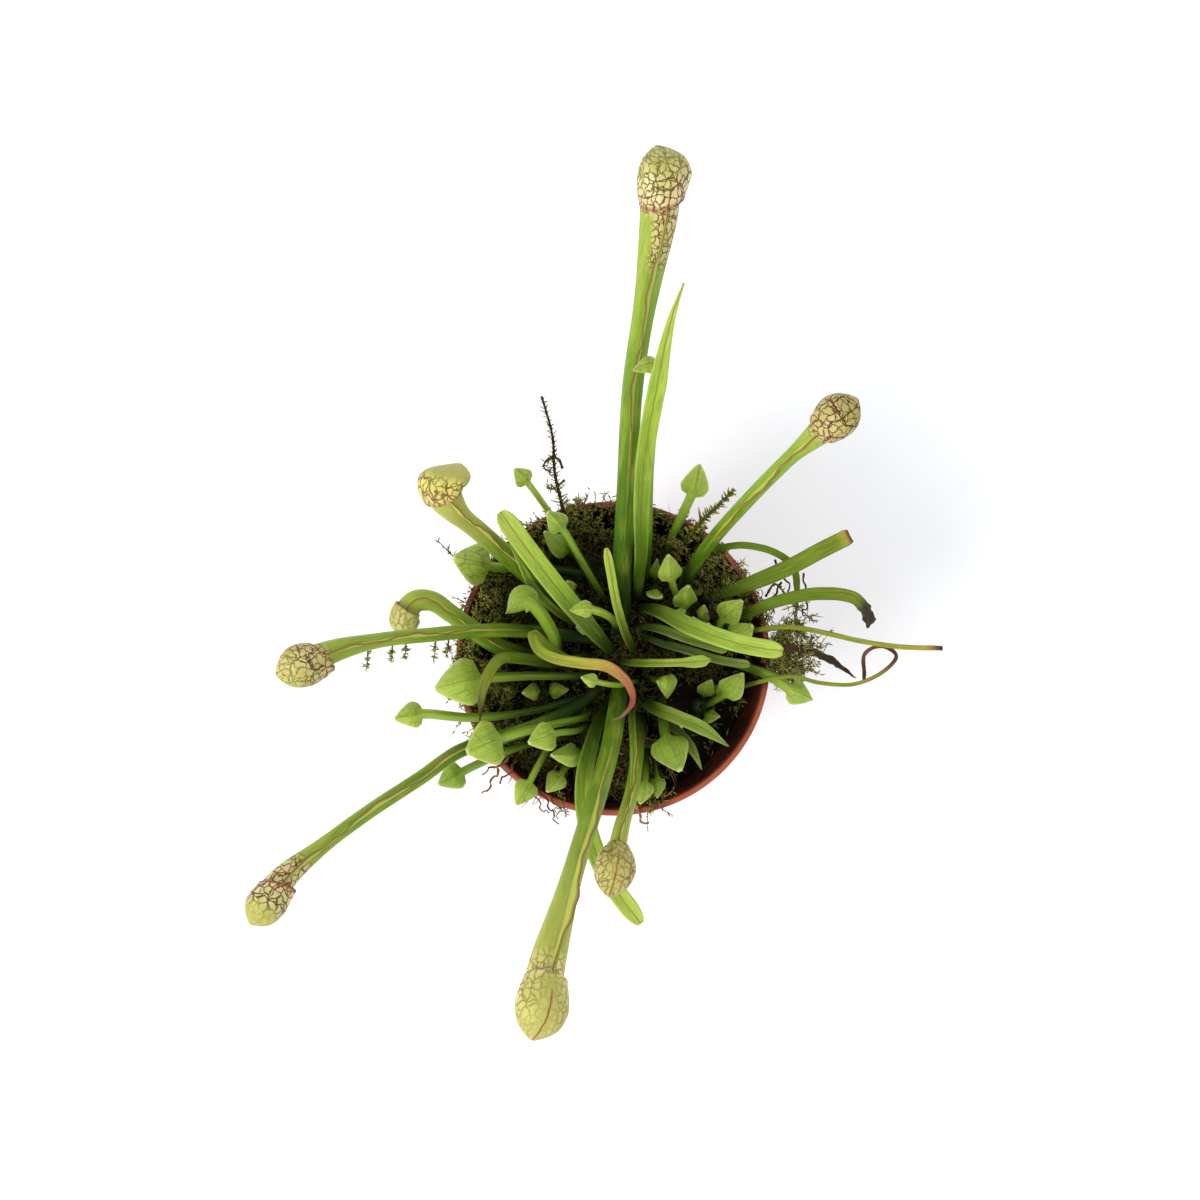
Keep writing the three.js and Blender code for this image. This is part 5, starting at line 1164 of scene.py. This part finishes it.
def moss_skins():
    """Moss over the peat: a low mat, star tufts with little leaves, plumes towards the rim, loose
    fine hairs, a clump that spills over the rim to the east, and bare brown roots to the south.
    """
    rng = np.random.default_rng(11)
    inner = inside_at(PEAT_EDGE) - 0.8

    def scatter(count, lump):
        """Places over the peat, thick where moss grows, banked up near the pot's wall."""
        r = inner * np.sqrt(rng.uniform(0, 1, count * 8))
        flat = around(r, rng.uniform(0, TAU, count * 8))
        patchy = lattice(flat, 7.0, 5) + 0.5 * lattice(flat, 3.0, 6)
        xy = flat[:, :2]
        chance = moss_cover(xy) * np.clip(0.5 + lump * patchy, 0, 1)
        xy = xy[chance > rng.uniform(0, 1, len(xy))][:count]
        bank = 7 * smooth(0.62, 0.97, np.hypot(*xy.T) / inner) * moss_cover(xy) ** 2
        return on_peat(xy, bank * rng.uniform(0, 1, len(xy)) ** 0.6)

    def headed(shape, flatness, lift):
        """Random ways that lean up by the lift."""
        return rng.normal(0, 1, shape) * [1, 1, flatness] + [0, 0, lift]

    def toned(places, middle, spread):
        patch = lattice(places, 9.0, 8) * 0.22
        return np.clip(middle + patch + rng.normal(0, spread, len(places)), 0, 0.92)

    def stars(centres, each, reach, radius, middle):
        """Tufts: each centre sends out strands up and outwards."""
        m = len(centres) * each
        roots = np.repeat(centres, each, axis=0) + rng.normal(0, 0.45, (m, 3)) * [1, 1, 0.2]
        ways = headed(roots.shape, 0.35, 0.75)
        lengths = rng.uniform(0.6, 1.15, m) * reach
        lengths = lengths * np.repeat(rng.uniform(0.7, 1.2, len(centres)), each)
        spilled = middle + 0.26 * smooth(40, 46, centres[:, 0])
        tones = np.repeat(toned(centres, spilled, 0.1), each)
        lines = bent_lines(rng, roots, ways, lengths, rng.uniform(0, 0.8, m))
        return lines, spindles(rng, lines, radius * rng.uniform(0.8, 1.3, m), tones), tones

    def strands(places, ways, lengths, droops, rings, radii):
        """Single strands, each length, droop and radius drawn between two bounds."""
        m = len(places)
        reach, droop = rng.uniform(*lengths, m), rng.uniform(*droops, m)
        lines = bent_lines(rng, places, ways, reach, droop, rings)
        return lines, rng.uniform(*radii, m) if radii else None

    mat = scatter(5200, 0.8)
    ways = headed(mat.shape, 0.35, 0.45)
    lines, radii = strands(mat + [0, 0, 0.1], ways, (1.2, 3.2), (0, 0.5), 5, (0.12, 0.26))
    low = spindles(rng, lines, radii, toned(mat, 0.22, 0.12), 1.7)

    centres = scatter(460, 1.4) + [0, 0, 0.6]
    spill = columns(rng.normal(50, 3.0, 52), rng.normal(1.5, 4.8, 52), rng.normal(74.5, 1.4, 52))
    turn, out = rng.uniform(0.3, 5.4, 110), rng.uniform(41.5, 44.8, 110)
    ledge = around(out, turn, 74 + rng.uniform(-1.5, 0.6, 110))
    ledge = ledge[moss_cover(ledge[:, :2]) > rng.uniform(0.3, 1, 110)]
    lines, tufts, tones = stars(np.vstack([centres, spill, ledge]), 9, 4.3, 0.14, 0.56)
    halves = np.array_split(lines, 2)
    leafy = [leaflets(rng, part, tones[: len(part)], 5, 1.35, 0.15) for part in halves]

    far = scatter(900, 0.6)
    ways = headed(far.shape, 0.25, 0.35)
    lines, radii = strands(far + [0, 0, 0.3], ways, (4, 10), (0.2, 0.9), 8, (0.05, 0.12))
    hairs = spindles(rng, lines, radii, toned(far, 0.66, 0.2))

    turn, out = rng.uniform(0.15, 3.9, 110), inner * rng.uniform(0.72, 1.0, 110)
    plume = around(out, turn, rng.uniform(68, 73, 110))
    ways = unit(plume * [1, 1, 0]) * rng.uniform(0, 0.8, (110, 1))
    ways = ways + rng.normal(0, 0.25, (110, 3)) + [0, 0, 0.9]
    lines, _ = strands(plume, ways, (5, 10), (-0.1, 0.6), 9, None)
    tones = toned(plume, 0.5, 0.1)
    plumes = [spindles(rng, lines, np.full(110, 0.18), tones * 0.5)]
    plumes.append(leaflets(rng, lines, tones, 34, 1.6, 0.16))

    xy = rng.normal(0, 1, (240, 2)) * [12, 5] + [-13, -32]
    xy = xy[np.hypot(*xy.T) < inner]
    ways = columns(*(0.03 * xy).T, 0.7) + rng.normal(0, 0.5, (len(xy), 3))
    lines, radii = strands(on_peat(xy, 0.6), ways, (5, 11), (0.2, 1.2), 9, (0.1, 0.26))
    roots = spindles(rng, lines, radii, rng.uniform(0.4, 1, len(xy)))
    pieces = dict(moss_mat=low, moss_tufts=tufts, moss_leaves_a=leafy[0], moss_leaves_b=leafy[1])
    return {**pieces, "moss_plumes": together(plumes), "moss_hairs": hairs}, roots


def stem_skin(path, first, last, tone, rooted=False, wiggle=0.0):
    """A thin round stem along a path, from one half width to another, a little knotted, that
    wanders from side to side by the wiggle once it has left its root.
    """
    line = Spine(path, rooted)
    d = np.linspace(0, line.length, max(14, int(line.length * 2.5)))[:, None]
    knots = 1 + 0.2 * np.sin(2.3 * d + 5 * tone) * np.sin(0.7 * d + tone)
    half = mix(first, last, d / line.length) * knots
    loose = wiggle * smooth(0, 4, d)
    x = half * np.sin(round_angles(8)) + loose * np.sin(1.1 * d + 9 * tone)
    y = half * np.cos(round_angles(8)) + loose * np.sin(1.9 * d + 5 * tone)
    return loft(sections(line.frames(d[:, 0]), x, y), tone=tone, share=0.4)


def sprig_skin(form, rng):
    """A moss sprig: a tapering stem with pointed leaflets set round it by the golden angle."""
    first, last, leaf, slim, low_tone, high_tone, path = form
    line = Spine(path)
    stem = stem_skin(path, 0.4 * first, 0.4 * last, low_tone, True)
    count = int((line.length - 8) / 0.3)
    at = 8 + 0.3 * np.arange(count)
    place, forward, _, up = line.frames(at, 2.4 * np.arange(count))
    reach = leaf * mix(1.4, 0.8, at / line.length) * rng.uniform(0.6, 1.2, count)
    lines = bent_lines(rng, place, up * 0.9 + forward * 0.6, reach, rng.uniform(-0.3, 0.5, count))
    leaves = spindles(rng, lines, slim * reach, rng.uniform(low_tone, high_tone, count), 1.4)
    return together([stem, leaves])


def bead_skins():
    """White crumbs on the peat: small lumpy balls, half sunk."""
    crumbs = [(19.2, -19.3, 1.1), (27, -20.5, 0.5), (-24, 21, 0.5), (8, -34, 0.55), (30, 22, 0.5),
        (-33, -6, 0.45), (3, 35, 0.4)]
    polar = np.linspace(0.02, np.pi - 0.02, 9)[:, None]
    ball = around(np.sin(polar), round_angles(12), -np.cos(polar))
    skins = []
    for x, y, size in crumbs:
        lumpy = size * ball * (1 + 0.16 * lattice(ball * 1.3 + x, 1.0, 9)[..., None])
        skins.append(loft([x, y, peat_top(x, y) + 0.6 + 2 * size] + lumpy))
    return together(skins)


# Loose bits over the rim: half widths at both ends, tone, and points.
HANGING_MOSS = [
    (0.3, 0.12, 0.4, [(-38.2, 21.8, 71), (-41, 24, 77.5), (-45.5, 27.1, 81), (-48, 28.9, 85),
        (-50.2, 30.8, 87)]),
    (0.45, 0.2, 0.4, [(-15.6, 52, 86.2), (-16.8, 54.3, 87.4), (-18.6, 54.6, 88), (-20.3, 53.7, 88),
        (-20.9, 52.1, 87), (-19.6, 51.3, 86.4), (-18.5, 52.2, 86.2)]),
    (0.45, 0.2, 0.45, [(-14.9, 49, 84.6), (-16, 48, 84.4), (-17.6, 46.7, 84.6), (-19.1, 46.3, 85),
        (-19.6, 47.5, 85)]),
    (0.4, 0.2, 0.5, [(44, 18, 73), (45.5, 20.8, 78), (46.8, 18.7, 83), (48.6, 15.2, 86)]),
    (0.35, 0.15, 0.45, [(45, 1, 74), (50.1, 0.6, 77), (54.6, -2.9, 74), (57.5, -3.5, 70)]),
    (0.35, 0.15, 0.5, [(46, 6, 75), (51, 7.5, 77), (55, 6, 75)]),
]

HANGING_ROOTS = [
    (0.5, 0.35, 0.95, [(5.5, -38, 73.5), (6.5, -42.6, 76), (7, -46.2, 75.6), (9.4, -46.6, 74.6)]),
    (0.5, 0.25, 0.75, [(-29, -25.5, 68), (-30.5, -28.6, 76), (-32.4, -31, 76.6), (-34, -34.5, 73),
        (-37, -39, 69)]),
    (0.35, 0.15, 0.5, [(-32.4, -31, 76.6), (-34.6, -31.6, 76), (-37.4, -33, 73)]),
    (0.4, 0.2, 0.6, [(-27.5, -27.5, 68), (-29, -31.6, 76), (-31, -33.9, 75.4), (-32.8, -35.8, 71)]),
    (0.4, 0.15, 0.4, [(-19.6, -33.4, 68), (-21.1, -37.9, 76), (-18.9, -41.5, 76.6), (-17.4, -44.4, 73),
        (-15.7, -47.8, 69)]),
    (0.3, 0.15, 0.35, [(-20.6, -34, 68), (-22.3, -38.6, 76), (-21.1, -42, 74), (-18.7, -44.4, 70)]),
    (0.3, 0.12, 0.3, [(-16.4, -35, 68), (-17.5, -40.4, 76), (-15.5, -43.5, 75), (-16.4, -46, 71)]),
    (0.35, 0.2, 0.05, [(45.5, 27.5, 80), (46.8, 22.7, 84), (48.6, 18.2, 86), (47.8, 15, 84)]),
    (0.3, 0.2, 0.05, [(51.4, 22.2, 92), (51.8, 17.7, 90), (52.7, 13.7, 88), (52.6, 11.4, 84)]),
    (0.35, 0.2, 0.1, [(46.6, 20.6, 84), (44.6, 17.6, 84.6), (43.6, 14, 83), (44.8, 12.4, 81)]),
]

# Dryness and brownness along each withered leaf, by share of its length.
DRYNESS = {
    "curled_leaf": [(0, 0, 0), (0.4, 0.16, 0), (0.6, 0.32, 0), (0.7, 0.42, 0), (0.8, 0.56, 0),
        (0.88, 0.66, 0), (0.95, 0.76, 0), (1, 0.84, 0.3)],
    "withered_leaf_west": [(0, 0.05, 0), (0.5, 0.16, 0), (0.7, 0.24, 0.2), (0.85, 0.3, 0.5),
        (1, 0.3, 0.9)],
    "withered_leaf_north_east": [(0, 0.05, 0), (0.6, 0.16, 0), (0.85, 0.2, 0.2), (1, 0.2, 1)],
    "bent_leaf_east": [(0, 0.05, 0), (0.55, 0.16, 0), (0.76, 0.25, 0.1), (0.86, 0.3, 0.8), (1, 0.3, 1)],
    "long_withered_leaf_east": [(0, 0.25, 0), (0.8, 0.36, 0.1), (0.9, 0.42, 0.2), (0.96, 0.56, 0.3),
        (1, 0.6, 0.9)],
    "looped_leaf_east": [(0, 0.2, 0), (0.55, 0.3, 0.2), (0.7, 0.5, 0.5), (0.8, 0.7, 0.75),
        (0.9, 0.68, 0.5), (1, 0.7, 0.8)],
    "dead_leaf_east": [(0, 0.3, 0.2), (0.35, 0.5, 0.7), (0.5, 0.95, 1), (1, 1, 1)],
    "cut_leaf_east": [(0, 0.05, 0), (0.6, 0.16, 0), (0.93, 0.26, 0.1), (0.98, 0.5, 0.3),
        (1, 0.55, 0.8)],
}

# Shares along the western pitcher's tube where wisps of moss hang from it, and how they fall.
WISP_SHARES = [0.46, 0.53, 0.57, 0.66, 0.7, 0.77]
WISP_FALL = np.array([(0, 0, 0), (-0.2, -1.8, -1.6), (-0.3, -3.2, -3.4), (-0.6, -4.6, -4.4)])

# Grown pitchers. Marks: where windows begin along the tube, the side they keep to there, how plain
# the hood's far end and middle strip are, midrib, lip. Looks: veins, pale, red and yellow.
LOOKS = {
    "pitcher_north": ((0.84, 1, 0.35, 0, 0, 0.7), (0.9, 0.9, 0.3, 0.1)),
    "pitcher_north_east": ((0.93, 0, 0, 0, 0, 0.25), (1, 0.45, 0.6, 0.1)),
    "pitcher_west": ((0.97, 0, 0.3, 0, 0, 0.35), (0.95, 0.6, 0.35, 0.2)),
    "pitcher_south_west": ((0.89, 0, 0.8, 0, 0, 1), (0.95, 0.95, 0.2, 0.1)),
    "pitcher_south": ((0.92, 0, 0.4, 0.85, 1, 0), (0.45, 0.85, 0.1, 0.7)),
    "pitcher_north_west": ((0.97, 0, 0.95, 0, 0, 0.3), (0.8, 0.9, 0.05, 1)),
    "pitcher_west_drooping": ((0.97, 0, 0.5, 0, 0, 0.25), (0.35, 0.35, 0.3, 0.3)),
    "pitcher_south_short": ((0.95, 0, 0, 0.5, 0.9, 0.3), (0.7, 0.6, 0.5, 0.6)),
}

# The paler blades; the others are darker by chance.
BRIGHT = {
    "young_pitcher_west_veined": 0.0,
    "young_pitcher_west_large": 0.1,
    "growing_leaf_north": -0.3,
    "growing_leaf_north_west": 0.0,
    "growing_leaf_east": 0.1,
    "long_leaf_south": 0.3,
}

# ------------------------------------------------------------------ the plant

rng = np.random.default_rng(4)
LEAF_PATTERN = make_leaf_group()
pitcher_material = make_pitcher_material()
# The dark first stop of each ramp below, at the leaf's root, is partly painted shade of the crown.
young_material = make_green_material(
    "young_pitcher",
    [(0.0, 42, 70, 8), (0.35, 86, 122, 18), (0.75, 136, 162, 50), (1.0, 162, 180, 76)],
    rim=(200, 208, 120),
    line=(98, 112, 34),
    strong=0.3,
    netted=0.45,
)
blade_material = make_green_material(
    "growing_blade",
    [(0.0, 34, 62, 5), (0.35, 84, 120, 20), (0.75, 144, 170, 54), (1.0, 168, 186, 76)],
    rim=(168, 180, 84),
    line=(110, 76, 30),
    strong=0.45,
    netted=0.0,
)
withered_material = make_withered_material()
moss_material = make_moss_material()
peat_material = make_crumb_material("peat_crumbs", (12, 7, 5), (26, 18, 11), (58, 44, 28))
root_material = make_crumb_material("rhizome_bark", (92, 62, 38), (134, 98, 62), (160, 128, 88), 0.8)

for name, row in PITCHERS.items():
    marks, painted = LOOKS[name]
    look = dict(zip(("veins", "pale", "red", "yellow"), painted), tone=rng.uniform())
    pitcher = Pitcher(row, marks, look)
    finish_piece(name + "_leaf", pitcher.skin(), pitcher_material, "leaf_grown", name)

for name, form in BLADES.items():
    look = leaf_look(BRIGHT.get(name, rng.uniform()))
    skin = blade_skin(form, look, dryness=DRYNESS.get(name))
    blade = withered_material if name in DRYNESS else blade_material
    dead = name in DRYNESS and name != "cut_leaf_east"
    finish_piece(name + "_blade", skin, blade, "leaf_withered" if dead else "leaf_grown", name)

for name, form in YOUNG.items():
    veins = 0.45 if name == "young_pitcher_west_veined" else 0.0
    skin = young_skin(form, leaf_look(BRIGHT.get(name, rng.uniform()), veins))
    finish_piece(name + "_leaf", skin, young_material, "leaf_young", name)

for name, (crown, *leaves) in ROSETTES.items():
    parts = [crown_skin(crown, leaf_look(rng.uniform()))]
    for leaf in leaves:
        make = young_skin if len(leaf) == 5 else blade_skin
        parts.append(make(leaf, leaf_look(rng.uniform()), rooted=False))
    finish_piece(name + "_leaves", together(parts), young_material, "leaf_young", name)

for name, form in SPRIGS.items():
    finish_piece(name + "_leafy", sprig_skin(form, rng), moss_material, "moss", name)

moss, roots = moss_skins()
tube, *_, path = PITCHERS["pitcher_west"]
line = Spine(path)
for share in WISP_SHARES:
    place, _, side, up = (f[0] for f in line.frames(share * line.length))
    start = place + tube_half(tube, share) * (0.6 * side * -np.sign(side[1]) - 0.5 * up)
    tone = 0.3 + 0.3 * (share % 0.1) * 10
    HANGING_MOSS.append((0.3, 0.12, tone, start + WISP_FALL * rng.uniform(0.7, 1.2)))
wisps = []
for first, last, tone, path in HANGING_MOSS:
    line = Spine(path, False)
    places = line.frames(np.linspace(0, line.length, 12))[0][None]
    wisps.append(stem_skin(path, first, last, tone))
    wisps.append(leaflets(rng, places, np.array([tone]), 26, 1.5, 0.16))
moss["moss_wisps"] = together(wisps)
for name, skin in moss.items():
    finish_piece(name, skin, moss_material, "moss")

bits = [stem_skin(path, first, last, tone, False, 0.5) for first, last, tone, path in HANGING_ROOTS]
finish_piece("bare_roots", together([roots, *bits]), make_root_strand_material(), "rhizome")
finish_piece("white_crumbs", bead_skins(), make_bead_material(), "peat")
finish_piece("peat_surface", peat_skin(), peat_material, "peat", "peat")
finish_piece("pot_moulded", pot_skin(), make_pot_material(), "pot", "pot")
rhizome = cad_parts["rhizome"]
rhizome.data.materials.clear()
rhizome.data.materials.append(root_material)

# ------------------------------------------------------------------ studio

mesh = bpy.data.meshes.new("studio_floor")
mesh.from_pydata([(-1.5, -1.5, 0), (1.5, -1.5, 0), (1.5, 1.5, 0), (-1.5, 1.5, 0)], [], [(0, 1, 2, 3)])
floor = bpy.data.objects.new("studio_floor", mesh)
mesh.materials.append(make_floor_material())
bpy.context.scene.collection.objects.link(floor)

world = bpy.data.worlds.new("soft_studio")
bpy.context.scene.world = world
world.use_nodes = True
world.node_tree.nodes["Background"].inputs["Color"].default_value = (0.97, 0.985, 1.0, 1)
world.node_tree.nodes["Background"].inputs["Strength"].default_value = 0.95
bpy.context.scene.view_settings.view_transform = "Standard"


def area_light(name, place, target, size, power, colour=(1, 1, 1)):
    lamp = bpy.data.lights.new(name, "AREA")
    lamp.shape, lamp.size, lamp.energy, lamp.color = "SQUARE", size, power, colour
    held = bpy.data.objects.new(name, lamp)
    held.location = place
    held.rotation_euler = (Vector(target) - Vector(place)).to_track_quat("-Z", "Y").to_euler()
    bpy.context.scene.collection.objects.link(held)


area_light("key", (-0.8, -0.5, 0.82), (0, 0, 0.08), 0.45, 10.5, (1.0, 0.985, 0.96))
area_light("fill", (0.6, 0.4, 1.0), (0, 0, 0.1), 0.9, 2.0)

# The camera: sensor in millimetres, focal length and picture in pixels, its axes and its eye.
SENSOR = 36
FOCAL_PIXELS = 1757.78
PICTURE_PIXELS = 1200
camera_data = bpy.data.cameras.new("picture")
camera_data.sensor_width = SENSOR
camera_data.lens = SENSOR * FOCAL_PIXELS / PICTURE_PIXELS
camera_data.clip_start = 0.01
camera = bpy.data.objects.new("picture", camera_data)
right = Vector((0.99708, 0.0, 0.07632))
up = Vector((-0.00891, 0.99316, 0.11638))
back = Vector((-0.07580, -0.11672, 0.99027))
eye = Vector((-0.042212, -0.042370, 0.571689))
camera.matrix_world = Matrix([*zip(right, up, back, eye), (0, 0, 0, 1)])
bpy.context.scene.collection.objects.link(camera)
bpy.context.scene.camera = camera
